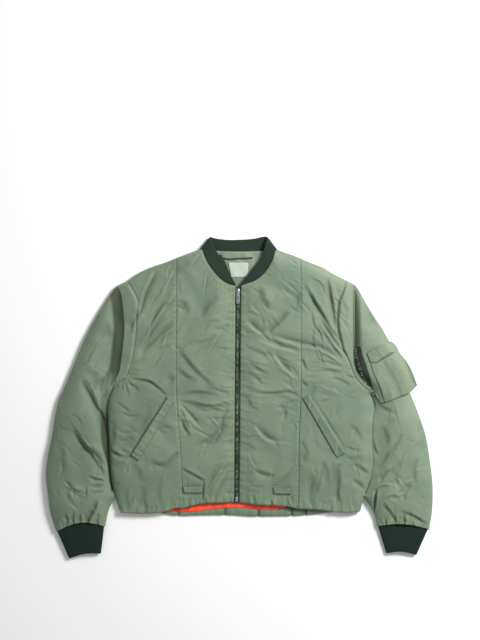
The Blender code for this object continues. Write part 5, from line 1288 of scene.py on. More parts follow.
def sleeve_grid(hand, step, with_pleat):
    """Plan points of a sleeve, row by row from the armhole to the cuff, outer edge first."""
    line = LINES[hand]
    outward = np.array([-1.0 if hand == "right" else 1.0, 1.0])
    inner_line = join(line["side"], line["inner_foot"])
    side_part = length_of(line["side"]) / length_of(inner_line)
    inner_shares = np.append(side_part * np.linspace(0, 1, SIDE_SPANS + 1), (1 + side_part) / 2)
    edges = [(0.0, 0.0, line["armhole"]),
             (on_line(line["outer"], line["pleat"][0, 1]), PLEAT_END * inner_shares[1],
              line["pleat"])]
    for outer_y, station, bow_out, bow_up in SLEEVE_SECTIONS[hand]:
        reach = on_line(line["outer"], outer_y)
        start = along(line["outer"], [reach])[0]
        end = along(inner_line, [inner_shares[station]])[0]
        edges.append((reach, inner_shares[station],
                      bowed(start, end, np.array([bow_out, bow_up]) * outward)))
    mouth = bowed(line["outer"][-1], line["inner_foot"][-1], (0.0, CUFFS[hand]["bow"][0]))
    edges.append((1.0, 1.0, mouth))

    widest = max(length_of(edge[2]) for edge in edges[:-NARROW_LINES])
    across = np.linspace(0, 1, math.ceil(widest / step) + 1)
    knots = np.array([along(edge[2], across) for edge in edges])
    apart = np.linalg.norm(np.diff(knots, axis=0), axis=2)
    at_knot = np.concatenate([[0.0], np.cumsum(0.5 * (apart.mean(1) + apart.max(1)))])
    down = np.linspace(0, at_knot[-1], math.ceil(at_knot[-1] / step) + 1)
    if with_pleat:
        fine = np.arange(at_knot[1] - PLEAT_ROWS["above"], at_knot[1] + PLEAT_ROWS["below"],
                         PLEAT_ROWS["step"] * step)
        down = np.concatenate([down[down < fine[0] - 1], fine, down[down > fine[-1] + 1]])
    slope = np.gradient(knots, at_knot, axis=0)
    rate = apart / np.diff(at_knot)[:, None]
    least = np.minimum(np.vstack([rate[:1], rate]), np.vstack([rate, rate[-1:]]))
    steepest = np.maximum(np.linalg.norm(slope, axis=2), 1e-9)
    slope *= np.minimum(1.0, SLOPE_LIMIT * least / steepest)[..., None]
    span = np.clip(np.searchsorted(at_knot, down, side="right") - 1, 0, len(knots) - 2)
    width = (at_knot[span + 1] - at_knot[span])[:, None, None]
    t = ((down - at_knot[span]) / width[:, 0, 0])[:, None, None]
    grid = curve_at(span, t, width, knots, slope)
    for side, path, weight in ((0, line["outer"], (1 - across) ** EDGE_PULL),
                               (1, inner_line, across ** EDGE_PULL)):
        shares = smooth([(place, edge[side]) for place, edge in zip(at_knot, edges)], 2.0)
        shares[:, 1] = np.maximum.accumulate(shares[:, 1])
        exact = along(path, np.interp(down, shares[:, 0], shares[:, 1]))
        grid += (exact - grid[:, -side])[:, None] * weight[None, :, None]
    return grid


for hand in HANDS:
    grid = sleeve_grid(hand, CLOTH_STEP, True)
    places, shade = raised(grid, sleeve_relief)
    turned = tucked(places[::-1].swapaxes(0, 1), np.ones(grid.shape[1]))
    dress(f"sleeve_{hand}_upper_cloth", grid, turned.swapaxes(0, 1)[::-1],
          f"sleeve_{hand}_upper", shade=np.vstack([shade[:1], shade]))
    grid = sleeve_grid(hand, BACK_STEP, False)
    places, shade = laid(grid)
    dress(f"sleeve_{hand}_under_cloth", grid, places, f"sleeve_{hand}_under",
          faces="down", shade=shade)


# ---------------------------------------------------------------- rib cuffs
RIB_PITCH = 2.6
RIB_DEPTH = 0.55
RIB_SAMPLES = 5         # points across one rib
KNIT_WALL = 3.0         # both layers of the folded rib
CUFF_HEIGHT = (15.0, 13.0)      # at the sleeve and at the hand
CUFF_ROWS = 20
CUFF_EASE = 2.5         # how far the cuff stays inside the sleeve's edges
CUFF_TURN_ROWS = 5      # rows of the folded end, and then of the inside
CUFF_INSIDE_ROWS = 14


RING_POWER = 0.72       # 1 is an ellipse, and less is squarer


def flat_ring(width, height, count):
    """A flattened ring of equally spaced points, and its outward normals."""
    angle = np.linspace(0, 2 * math.pi, 721)
    x, z = (np.sign(wave) * abs(wave) ** RING_POWER * size / 2
            for wave, size in ((np.cos(angle), width), (np.sin(angle), height)))
    ring = along(np.stack([x, z], 1), np.linspace(0, 1, count + 1))
    ring[-1] = ring[0]
    way = np.roll(ring[:-1], -1, 0) - np.roll(ring[:-1], 1, 0)
    normal = np.stack([way[:, 1], -way[:, 0]], 1)
    normal /= np.linalg.norm(normal, axis=1, keepdims=True)
    return ring, np.vstack([normal, normal[:1]])


def knit_grid(name, places, ribs, node, material, close=True):
    """A knit surface through a grid of places, with its ribs' valleys marked for painted shade."""
    bm, row, col = grid_through(places, calc_uvs=True)
    mesh = bpy.data.meshes.new(name)
    valley = bm.verts.layers.float.new("painted_shade")
    for vert, mark in zip(bm.verts, ribs[row, col]):
        vert[valley] = mark
    if close:
        bmesh.ops.remove_doubles(bm, verts=bm.verts, dist=0.00002)
    bmesh.ops.recalc_face_normals(bm, faces=bm.faces)
    if bm.calc_volume(signed=True) < 0:
        bmesh.ops.reverse_faces(bm, faces=bm.faces)
    bm.to_mesh(mesh)
    bm.free()
    piece = keep(name, mesh, [material])
    stand_for(node)


def ribs_round(count):
    """How deep in a rib's valley each of some points lies, 0 to 1."""
    return 0.5 - 0.5 * np.cos(np.arange(count) * 2 * math.pi / RIB_SAMPLES)


for hand in HANDS:
    cuff = CUFFS[hand]
    outer_top, outer_foot = np.array(cuff["outer"], float)
    inner_top, inner_foot = np.array(cuff["inner"], float)
    across_way = (inner_top - outer_top) / np.linalg.norm(inner_top - outer_top)
    top_corners = np.array([outer_top + CUFF_EASE * across_way,
                            inner_top - CUFF_EASE * across_way])
    foot_corners = np.array([outer_foot, inner_foot])
    rib_count = round(2 * np.linalg.norm(inner_top - outer_top) / RIB_PITCH)
    count = rib_count * RIB_SAMPLES
    profile = [(share, 0.0) for share in np.linspace(-0.06, 1.0, CUFF_ROWS)]
    profile += [(1.0 + 0.02 * math.sin(angle), (1 - math.cos(angle)) / 2 * KNIT_WALL)
                for angle in np.linspace(0, math.pi, CUFF_TURN_ROWS + 1)[1:]]
    profile += [(share, KNIT_WALL) for share in np.linspace(1.0, 0.1, CUFF_INSIDE_ROWS)[1:]]
    rows, marks = [], []
    for share, depth in profile:
        low, high = (1 - share) * top_corners + share * foot_corners
        width = np.linalg.norm(high - low)
        way = (high - low) / width
        height = CUFF_HEIGHT[0] + share * (CUFF_HEIGHT[1] - CUFF_HEIGHT[0])
        bow = (1 - share) * cuff["bow"][0] + share * cuff["bow"][1]
        ring, normal = flat_ring(width, height, count)
        valleys = ribs_round(count + 1)
        ring = ring - normal * (depth + RIB_DEPTH * valleys)[:, None]
        along_bow = bow * np.cos(math.pi * ring[:, 0] / width)
        plan = (low + high) / 2 + ring[:, :1] * way
        rows.append(np.stack([plan[:, 0], plan[:, 1] + along_bow, ring[:, 1] + height / 2], 1))
        marks.append(valleys)
    knit_grid(f"cuff_{hand}_rib", np.array(rows), np.array(marks), f"cuff_{hand}",
              CUFF_KNIT)


# ---------------------------------------------------------------- rib collar
COLLAR_SECTIONS = [       # seam x, y, z and free edge x, y, z, from the right front round
    (-10.0, 279.0, 19.0, -9.4, 284.5, 17.8),
    (-21, 282.0, 19.4, -17, 297, 18.2),
    (-44, 294.0, 21.0, -27.5, 319.5, 18.2),
    (-63, 315.5, 21.8, -37, 342, 18.0),
    (-81, 342.5, 21.2, -52, 358, 17.4),
    (-90, 361, 17.8, -63, 376, 16.6),
    (-94.4, 370.5, 13.6, -71, 394, 14.6),
    (-95.6, 374.8, 8.6, -73.6, 402, 9.0),
    (-90.5, 375.0, 3.0, -71, 401, 3.4),
    (-82, 372.0, 0.5, -62, 398.4, 0.7),
    (-56, 366.6, 0.2, -38, 394.8, 0.4),
    (0, 365.2, 0.2, 2, 394.5, 0.4),
    (56, 366.6, 0.2, 42, 398.0, 0.4),
    (79, 371.0, 0.5, 60, 402.0, 0.7),
    (88, 373.8, 3.0, 68, 402.6, 3.4),
    (93, 372.6, 8.6, 71.5, 400.6, 9.0),
    (91.4, 368.6, 13.6, 69, 394, 14.6),
    (87.5, 358, 17.8, 62, 374, 16.6),
    (78.5, 336.5, 21.2, 60, 357, 17.4),
    (60, 309.0, 21.8, 43, 330.5, 18.0),
    (35, 290.8, 20.8, 24, 308, 18.2),
    (17, 284.8, 19.4, 12.5, 293, 18.2),
    (4.2, 279.0, 19.0, 5.4, 283, 17.8),
]
COLLAR_WALL = 3.4
COLLAR_FACE_ROWS = 10
COLLAR_TURN_ROWS = 6
COLLAR_TUCK = 0.08      # of the band's width, under the neck seam
COLLAR_DIVE = 2.4       # how far the tucked edge sinks

stations = smooth(COLLAR_SECTIONS, 6.0)
round_neck = length_of(stations[:, :3]) * 0.5 + length_of(stations[:, 3:]) * 0.5
collar_ribs = round(round_neck / RIB_PITCH)
stations = along(stations, np.linspace(0, 1, collar_ribs * RIB_SAMPLES + 1))
seam, free = stations[:, :3], stations[:, 3:]
around = np.gradient(seam + free, axis=0)
outward = -np.cross(around, free - seam)
outward /= np.linalg.norm(outward, axis=1, keepdims=True)
valleys = ribs_round(len(stations))[:, None]
tip = COLLAR_WALL / 2 / np.linalg.norm(free - seam, axis=1, keepdims=True)
face = np.linspace(-COLLAR_TUCK, 1.0, COLLAR_FACE_ROWS)
turn = np.linspace(0, math.pi, COLLAR_TURN_ROWS + 1)[1:]
profile = [(share, 0.0, 0.0) for share in face]     # share of the band, of its tip, of its wall
profile += [(1.0, math.sin(angle), 0.5 - 0.5 * math.cos(angle)) for angle in turn]
profile += [(share, 0.0, 1.0) for share in np.linspace(1.0, -COLLAR_TUCK, COLLAR_FACE_ROWS)[1:]]
rows, marks = [], []
for reach, past, depth in profile:
    share = reach - tip + past * tip
    ribs = RIB_DEPTH * valleys * (1 - 2 * depth)
    row = seam + share * (free - seam) - outward * (depth * COLLAR_WALL + ribs)
    row[:, 2] -= COLLAR_DIVE * (1 - ease(np.ravel(share) / 0.06 + 0.8)) * (seam[:, 2] > 12.0)
    rows.append(row)
    marks.append(valleys[:, 0])
knit_grid("collar_rib", np.array(rows), np.array(marks), "collar",
          KNIT, close=False)


# ---------------------------------------------------------------- inside the neck
INSIDE = 3.0            # what lies on the back starts here
FACING_TOP = [(-72, 367.0), (-40, 365.4), (0, 364.6), (40, 365.4), (72, 367.0)]
FACING_FOOT = [(-40, 262), (38, 262)]
LABEL_CORNERS = [at(228.2, 262.4), at(248.2, 262.6), at(248.2, 276.6), at(231.2, 277.4)]
LOOP_PATH = [(220.5, 254.3), (222.2, 257.2), (225.2, 258.4), (239, 258.3), (249, 258.0),
             (252.8, 257.5)]
LOOP_HALF = 1.9
LOOP_CROWN = 0.9
LOOP_COLUMNS = 7


def level(grid, lift, wobble, seed):
    """Places of a piece that lies level inside the jacket, not quite flat."""
    ground = 0.5 + 0.5 * lumps(grid.reshape(-1, 2), 30.0, seed).clip(-1, 1)
    return with_height(grid, INSIDE + lift + wobble * ground)


ends = [np.array([FACING_TOP[end], FACING_FOOT[end]], float) for end in (0, -1)]
grid = patch(smooth(FACING_TOP), np.array(FACING_FOOT, float), *ends, 3.0)
dress("neck_facing_cloth", grid, level(grid, 1.2, 1.2, 50), "neck_facing",
      [FACING], thickness=1.0)
corners = np.array(LABEL_CORNERS)
grid = patch(corners[[0, 1]], corners[[3, 2]], corners[[0, 3]], corners[[1, 2]], 2.0)
dress("neck_label_tag", grid, level(grid, 2.6, 0.5, 52), "neck_label",
      [LABEL], thickness=0.5)
loop_line = squares(LOOP_PATH, 2.0)
way = np.gradient(loop_line, axis=0)
step_out = np.stack([way[:, 1], -way[:, 0]], 1) / np.linalg.norm(way, axis=1, keepdims=True)
grid = np.stack([loop_line + side * step_out
                 for side in np.linspace(-LOOP_HALF, LOOP_HALF, LOOP_COLUMNS)])
places = level(grid, 3.2, 0.3, 53)
places[..., 2] += LOOP_CROWN * np.cos(np.linspace(-1.3, 1.3, LOOP_COLUMNS))[:, None]
dress("hanger_loop_tape", grid, places, "hanger_loop", [KNIT],
      thickness=0.8)


# ---------------------------------------------------------------- inside the back hem
HEM_FACING_TOP = [(-206, -286), (-156, -288), (-118, -288), (-91, -284.5), (-48, -279.5),
                  (2, -278), (47, -282), (100, -281.5), (118, -276), (152, -276), (222, -280)]
HEM_FACING_FOOT = [(-206, -289.8), (-153, -296.7), (-98, -295.7), (-10, -295.7), (27, -298.2),
                   (77, -298.2), (152, -296.2), (222, -290.2)]
LINING_TOP = -215
LINING_SPAN = (-190, 119)
# Layout columns where the casing is drawn in, turned into millimetres.
HEM_TUCKS = [at(column, 0)[0] for column in (178.5, 225.0, 258.7, 292.0, 306.0)]
HEM_SWELL = 1.6
TUCK_DEPTH = 3.4
TUCK_HALF = 2.4         # half width of a tuck, and of the dark in it
# the dark in a tuck is painted shade
TUCK_DARK_HALF = 2.2

facing_line, facing_foot = smooth(HEM_FACING_TOP, 2.0), smooth(HEM_FACING_FOOT, 2.0)
ends = [np.array([facing_line[end], facing_foot[end]]) for end in (0, -1)]
grid = patch(facing_line, facing_foot, *ends, counts=(8, 210))
places = level(grid, 1.4, 0.5, 54)
x = grid[..., 0]
share = np.linspace(0, 1, grid.shape[0])[:, None]
swell = HEM_SWELL * np.sin(math.pi * share) ** 0.6
for tuck in HEM_TUCKS:
    swell = swell - TUCK_DEPTH * np.exp(-abs(x - tuck) / TUCK_HALF)
places[..., 2] += swell + 0.7 * ripple(x, 17.0, 60) * (1 - share / 2)
# painted shade in the casing's tucks
tuck_shade = sum(1.6 * np.exp(-abs(x - tuck) / TUCK_DARK_HALF) for tuck in HEM_TUCKS)
dress("hem_facing_cloth", grid, places, "hem_facing_back", [HEM_FACING],
      thickness=1.2, shade=tuck_shade.clip(0, 1.25))
x = facing_line[:, 0]
shown = facing_line[(x > LINING_SPAN[0]) & (x < LINING_SPAN[1])]
top_line = np.array([[shown[0, 0], LINING_TOP], [shown[-1, 0], LINING_TOP]], float)
ends = [np.array([top_line[end], shown[end]]) for end in (0, -1)]
grid = patch(top_line, shown, *ends, 3.0)
places = level(grid, 0.6, 1.6, 56)
places[..., 2] += 0.8 * ripple(grid[..., 0], 24.0, 61)
dress("lining_cloth", grid, places, "lining_back", [ORANGE], thickness=0.8)


# ---------------------------------------------------------------- welts and hem tabs
WELTS = {               # corners: top at the pocket's mouth, top inner, foot inner, foot mouth
    "right": [(-179, 1), (-161.5, -8), (-252, -159.5), (-271, -144)],
    "left": [(172, 8), (157, -2), (243, -152), (265.5, -139)],
}
TABS = {                # upper inner, upper outer, lower outer, lower inner
    "right": [(-91, -223.5), (-143, -222.5), (-138, -240), (-91, -240)],
    "left": [(83, -225), (129, -225), (129, -242.5), (86, -242)],
}
TRIM = 1.2              # folded shell of a welt, tab or pocket
WELT_PUFF = 2.8         # how far a welt stands up, and how much more at the pocket's mouth
WELT_MOUTH = 2.8
TAB_PUFF = 3.0
WELT_STEP = 1.8         # spacing of the points
TAB_STEP = 1.4
SHADE_THROUGH = 0.4     # of the shade of the cloth below that a welt or tab takes on


def quad_grid(corners, step):
    a, b, c, d = np.array(corners, float)
    return patch(np.array([a, b]), np.array([d, c]), np.array([a, d]), np.array([b, c]), step)


def pillow(grid, rise, round_rows=2.5):
    """A raised face that rounds down at its four edges, over a number of rows."""
    down, across = (np.minimum(np.arange(count), np.arange(count)[::-1]) / round_rows
                    for count in grid.shape[:2])
    return rise * quarter_round(np.minimum(down[:, None], across[None]))


def mark_line(places, shade, path, groove, dark, width):
    """Sink a line into a piece's places and paint shade along it."""
    flat = places[..., :2].reshape(-1, 2)
    near = np.exp(-(beside(flat, path)[0] / width) ** 2).reshape(places.shape[:2])
    places[..., 2] -= groove * near
    return np.maximum(shade, dark * near)


for hand in HANDS:
    grid = quad_grid(WELTS[hand], WELT_STEP)
    places, shade = raised(grid, lift=0.6)
    down = np.arange(grid.shape[0]) * WELT_STEP
    mouth_side = np.linspace(1, 0, grid.shape[1])[None]
    places[..., 2] += pillow(grid, WELT_PUFF)
    places[..., 2] += WELT_MOUTH * mouth_side ** 2
    places[..., 2] += 0.5 * ripple(down, 16.0, 70 + (hand == "left"))[:, None]
    # painted shade: a dark line along the pocket's mouth and along two stitched grooves
    shade = mark_line(places, shade * SHADE_THROUGH, grid[:, -1], 0.3, 0.9, 1.3)
    for row in (2, -3):
        shade = mark_line(places, shade, grid[row], 0.4, 0.6, 1.2)
    dress(f"welt_{hand}_cloth", grid, places, f"welt_{hand}",
          [SATIN], thickness=TRIM, shade=shade)
    grid = quad_grid(TABS[hand], TAB_STEP)
    places, shade = raised(grid, lift=0.5)
    places[..., 2] += pillow(grid, TAB_PUFF)
    # painted shade: dark outlines round the tab's four edges, as shadow gaps
    shade = shade * SHADE_THROUGH
    for edge in (grid[0], grid[-1], grid[:, 0], grid[:, -1]):
        shade = mark_line(places, shade, edge, 0.4, 1.6, 1.3)
    dress(f"hem_tab_{hand}_cloth", grid, places, f"hem_tab_{hand}",
          [SATIN], thickness=TRIM, shade=shade)


# ---------------------------------------------------------------- centre zip
TOOTH_PITCH = 3.6
TOOTH = (3.1, 1.5, 2.2)         # across the zip, along it, high
TOOTH_OFF = 1.25        # from the zip's centre line to a tooth's middle
CHAIN_HALF = 2.8
SLIDER_Y = 265.5
BOX_LENGTH = 12.0
TAPE_LOW = 3.6          # how far the tapes lie below the fronts
TAPE_STEP = 4.0
TAPE_COLUMNS = 9


def zip_height(y):
    """Height of the zip's tapes between the fronts."""
    edge = np.array([[zip_x(y), y]], float)
    base = FOLD_HEIGHT + LOFT - ZIP_DIP - HEM_DIP * (1 - ease(above_hem(edge)[0] / HEM_DIP_REACH))
    return float(base) - TAPE_LOW


def solids(name, material, shapes, node=None, bevel=0.0, segments=1):
    """Many small boxes in one mesh: each is a centre, a size and a turn about Z."""
    bm = bmesh.new()
    for centre, size, turn in shapes:
        box = bmesh.ops.create_cube(bm, size=1.0)["verts"]
        bmesh.ops.scale(bm, vec=[side * MM for side in size], verts=box)
        bmesh.ops.rotate(bm, cent=(0, 0, 0), matrix=Matrix.Rotation(turn, 3, "Z"), verts=box)
        bmesh.ops.translate(bm, vec=[value * MM for value in centre], verts=box)
    if bevel:
        bmesh.ops.bevel(bm, geom=bm.edges, offset=bevel * MM, offset_type="OFFSET",
                        segments=segments, profile=0.5, affect="EDGES", material=-1)
    mesh = bpy.data.meshes.new(name)
    bm.to_mesh(mesh)
    bm.free()
    piece = keep(name, mesh, [material])
    mesh.set_sharp_from_angle(angle=math.radians(35))
    stand_for(node)


down = np.arange(ZIP_TOP[1] + 5.0, ZIP_FOOT[1] - 4.0, -TAPE_STEP)
off = np.linspace(0.1, ZIP_HALF + TAPE_TUCK, TAPE_COLUMNS)
across = np.linspace(0, 1, TAPE_COLUMNS)
cord = -1.6 * ease((across - 0.35) / 0.5) + 0.5 * np.exp(-(across / 0.12) ** 2)
heights = np.array([zip_height(y) for y in down])[:, None] + cord
for hand, sign in zip(HANDS, (-1.0, 1.0)):
    grid = np.array([[(zip_x(y) + sign * reach, y) for reach in off] for y in down])
    dress(f"zip_tape_{hand}_weave", grid, with_height(grid, heights), f"zip_tape_{hand}",
          [TAPE], thickness=0.7)

teeth = []
tooth_foot = ZIP_FOOT[1] + 2.0 + BOX_LENGTH
for number in range(int((SLIDER_Y - tooth_foot) / (TOOTH_PITCH / 2))):
    y = tooth_foot + number * TOOTH_PITCH / 2
    side = 1.0 if number % 2 else -1.0
    teeth.append(((zip_x(y) + side * TOOTH_OFF, y, zip_height(y) + 1.1), TOOTH, 0.0))
solids("zip_teeth", TEETH, teeth, "zip_chain", bevel=0.35)
box_y = tooth_foot - BOX_LENGTH / 2
solids("zip_box_metal", NICKEL,
       [((zip_x(box_y), box_y, zip_height(box_y) + 1.2), (CHAIN_HALF * 2, BOX_LENGTH, 3.4), 0.0),
        ((zip_x(box_y), box_y - 1.0, zip_height(box_y) + 3.0), (2.0, 7.0, 0.8), 0.0)],
       "zip_retainer_box", bevel=0.5, segments=2)

pull_low, pull_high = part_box("zip_pull")
slider_low, slider_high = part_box("zip_slider")
SLIDER_PLATE = 1.6      # thick
SLIDER_BRIDGE = 3.8     # high


def slider_shapes():
    """The slider's two plates, the post between them and its bridge."""
    low, high = slider_low.z / MM, slider_high.z / MM
    top = high - SLIDER_BRIDGE
    upper, lower = top - SLIDER_PLATE / 2, low + SLIDER_PLATE / 2
    leg_z, leg = top + SLIDER_BRIDGE / 2 - 0.2, (2.2, 1.4, SLIDER_BRIDGE - 0.2)
    boxes = [   # how far up the zip, height, size
        (0.0, upper, (8.6, 8.0, SLIDER_PLATE)), (2.8, upper, (6.6, 6.0, SLIDER_PLATE)),
        (0.0, lower, (8.6, 8.0, SLIDER_PLATE)), (3.6, (low + top) / 2, (3.0, 3.0, top - low - 1.0)),
        (2.2, leg_z, leg), (-2.2, leg_z, leg), (0.0, high - 0.7, (2.2, 5.4, 1.2))]
    return [((zip_x(SLIDER_Y), SLIDER_Y + up, z), size, 0.0) for up, z, size in boxes]


solids("zip_slider_metal", NICKEL, slider_shapes(), "zip_slider",
       bevel=0.45, segments=2)


PULL_ROUND = 0.25       # of the tab's edges
PULL_NECK = 8.0         # from the hinge to where the tab widens
PULL_NARROW = 0.72      # of the half width, above that
WINDOW_HALF = 1.7
WINDOW_LENGTH = 5.0     # below the hinge
HOLE_RADIUS = 1.9
SLOT_HALF = 1.2
SLOT_REACH = (5.0, 3.5)         # above and below the middle of the tab's wide part


def make_pull():
    """The pull tab: a plate with a window for the bridge, a rounded end and a hole in it."""
    low, high = pull_low / MM, pull_high / MM
    half = (high.x - low.x) / 2
    middle = (high.x + low.x) / 2
    z = (low.z + high.z) / 2
    bar = (high.z - low.z) / 2
    hinge_y = high.y - bar
    end_y = low.y + half
    curve = bpy.data.curves.new("zip_pull_outline", "CURVE")
    curve.dimensions = "2D"
    curve.fill_mode = "BOTH"
    curve.extrude = (bar - PULL_ROUND) * MM
    curve.bevel_depth = PULL_ROUND * MM
    curve.bevel_resolution = 2
    turn = np.linspace(0, math.pi, 17)
    neck_y = hinge_y - PULL_NECK
    narrow = half * PULL_NARROW
    outer = [(-narrow, hinge_y + bar), (-narrow, neck_y + 1.5), (-half, neck_y - 2.0)]
    outer += [(-half * math.cos(a), end_y - half * math.sin(a)) for a in turn]
    outer += [(half, neck_y - 2.0), (narrow, neck_y + 1.5), (narrow, hinge_y + bar)]
    hole = [(HOLE_RADIUS * math.cos(a), end_y + HOLE_RADIUS * math.sin(a))
            for a in np.linspace(0, 2 * math.pi, 24, endpoint=False)]
    slot_y = (neck_y + end_y) / 2
    rings = [outer, hole]
    for side, above, below in (
            (WINDOW_HALF, hinge_y - bar, hinge_y - WINDOW_LENGTH),
            (SLOT_HALF, slot_y + SLOT_REACH[0], slot_y - SLOT_REACH[1])):
        rings.append([(-side, above), (side, above), (side, below), (-side, below)])
    for ring in rings:
        spline = curve.splines.new("POLY")
        spline.points.add(len(ring) - 1)
        for point, (x, y) in zip(spline.points, ring):
            point.co = ((middle + x) * MM, y * MM, 0.0, 1.0)
        spline.use_cyclic_u = True
    guide = bpy.data.objects.new("zip_pull_guide", curve)
    bpy.context.scene.collection.objects.link(guide)
    bpy.context.view_layer.update()
    depsgraph = bpy.context.evaluated_depsgraph_get()
    mesh = bpy.data.meshes.new_from_object(guide.evaluated_get(depsgraph))
    bpy.data.objects.remove(guide)
    bm = bmesh.new()
    bm.from_mesh(mesh)
    bmesh.ops.translate(bm, vec=(0, 0, z * MM), verts=bm.verts)
    bmesh.ops.remove_doubles(bm, verts=bm.verts, dist=0.00001)
    bmesh.ops.recalc_face_normals(bm, faces=bm.faces)
    bm.to_mesh(mesh)
    bm.free()
    mesh.materials.clear()
    piece = keep("zip_pull_metal", mesh, [NICKEL], "pull")
    mesh.set_sharp_from_angle(angle=math.radians(40))
    stand_for("zip_pull")


make_pull()


# ---------------------------------------------------------------- left sleeve's utility pocket
POCKET_ZIP_EDGE = [(301, 127), (306.5, 105), (314, 85), (321, 63), (327, 43), (337, 14), (345, 2)]
POCKET_ZIP_TUCK = [(281, 126), (280, 100), (283, 74), (292, 52), (308, 31), (326, 12), (336, 1)]
PATCH_TOP = [(301, 127), (308, 133), (340, 138), (382, 139)]
PATCH_FOOT = [(345, 2), (352, -14), (385, -5), (424, 13)]
POCKET_BULGE = [(382, 138), (390, 131), (400, 112), (416, 92), (433, 60), (444, 30)]
PEN_BAND_TOP = [(317, 111), (345, 127), (382, 138)]
PEN_BAND_FOOT = [(326, 88), (339, 87), (356, 97.5), (383, 112), (402, 110)]
PANEL_TOP = [(327, 84), (341, 92), (372, 109), (402, 114)]
PANEL_FOOT = [(362, -14), (400, 1), (428, 14.5), (444, 26)]
PANEL_EDGE = [(327, 84), (333, 62), (345, 36), (362, -14)]
WRAP_SPAN = (137, 16)   # the stretch of the sleeve's fold that the pocket's base ends on
WRAP_IN = (3.0, 1.0)    # and how far inside that fold it stays
POCKET_LIFT = {"panel": 2.5, "pen_band": 3.5}
OUTER_LIFT = 1.6        # of both, at the outer edge
BASE_LIFT = 1.2         # of the pocket's base above the sleeve, and how much it swells
BASE_PUFF = 1.0
POCKET_EDGE = 1.1       # how far a pocket piece stands above what it is sewn to
POCKET_LEVEL = 10.0     # how far its outer edge lies below the sleeve's crown
POCKET_BLEND = 6.0      # how softly a pocket piece passes from flush to level
POCKET_SINK = 2.0       # which lets it sit back down on the sleeve
POCKET_WALL = 1.8
POCKET_TEETH = 46
POCKET_TOOTH = (4.6, 1.8, 2.0)  # across the zip, along it, high
POCKET_TOOTH_OFF = 2.3
TAPE_CLEAR = 5.0        # beyond the cap strip's fold, where the pocket's tape starts to show


def pocket_places(grid, lift, seed):
    """Places of a pocket piece: flush with the sleeve, and level out past the sleeve's fold."""
    flat = grid.reshape(-1, 2)
    distance = abs(beside(flat, smooth(POCKET_BULGE))[0])
    crown = FOLD_HEIGHT + LOFT + SLEEVE_CROWN
    out = crown - POCKET_LEVEL * (1.0 - np.sqrt(ease(distance / 30.0)))
    out -= 0.25 * np.maximum(distance - 42.0, 0.0)
    flush = upper_height(flat, sleeve_relief)[0] + BASE_LIFT + BASE_PUFF
    higher = 0.5 * (out + flush + np.sqrt((out - flush) ** 2 + POCKET_BLEND))
    z = higher - POCKET_SINK + lift
    z += 0.35 * facets(flat, 26.0, 1.4, 60, seed) + 0.2 * lumps(flat, 19.0, seed + 1)
    return with_height(grid, z)


zip_edge, zip_tuck = smooth(POCKET_ZIP_EDGE), smooth(POCKET_ZIP_TUCK)
outer_line = LINES["left"]["outer"]
y = outer_line[:, 1]
wrap = outer_line[(y < WRAP_SPAN[0]) & (y > WRAP_SPAN[1])] - np.array(WRAP_IN)
wrap = np.vstack([PATCH_TOP[-1], wrap, PATCH_FOOT[-1]])
grid = patch(smooth(PATCH_TOP), smooth(PATCH_FOOT), zip_edge, wrap, 2.2)
places, shade = raised(grid, sleeve_relief, BASE_LIFT)
places[..., 2] += pillow(grid, BASE_PUFF)
# painted shade of the sleeve below, weakened
dress("sleeve_pocket_base_cloth", grid, places, "sleeve_pocket_base",
      [SATIN], thickness=TRIM, shade=shade * 0.3)
grid = patch(np.array([zip_tuck[0], zip_edge[0]]), np.array([zip_tuck[-1], zip_edge[-1]]),
             zip_tuck, zip_edge, 2.0)
places, _ = raised(grid, sleeve_relief, 0.6)
beyond = beyond_pleat(grid.reshape(-1, 2), "left")[0].reshape(grid.shape[:2])
for row, reach in zip(places, beyond):      # level from there on, in under the cap strip
    clear = np.flatnonzero(reach > TAPE_CLEAR)
    first = clear[0] if len(clear) else len(row) - 1
    row[:first, 2] = row[first, 2]
dress("sleeve_pocket_zip_tape_weave", grid, places, "sleeve_pocket_zip_tape",
      [TAPE], thickness=0.7)
share = np.linspace(0.02, 0.95, POCKET_TEETH)
tooth_line = 0.45 * along(zip_tuck, share) + 0.55 * along(zip_edge, share)
heights = upper_height(tooth_line, sleeve_relief)[0]
way = np.gradient(tooth_line, axis=0)
way /= np.linalg.norm(way, axis=1, keepdims=True)
small_teeth = []
for number, (place, height, heading) in enumerate(zip(tooth_line, heights, way)):
    side = 1.0 if number % 2 else -1.0
    spot = place + side * POCKET_TOOTH_OFF * np.array([heading[1], -heading[0]])
    small_teeth.append(((spot[0], spot[1], height + 1.6), POCKET_TOOTH,
                        math.atan2(heading[1], heading[0]) + math.pi / 2))
solids("sleeve_pocket_teeth", TEETH, small_teeth, "sleeve_pocket_zip_chain",
       bevel=0.3)

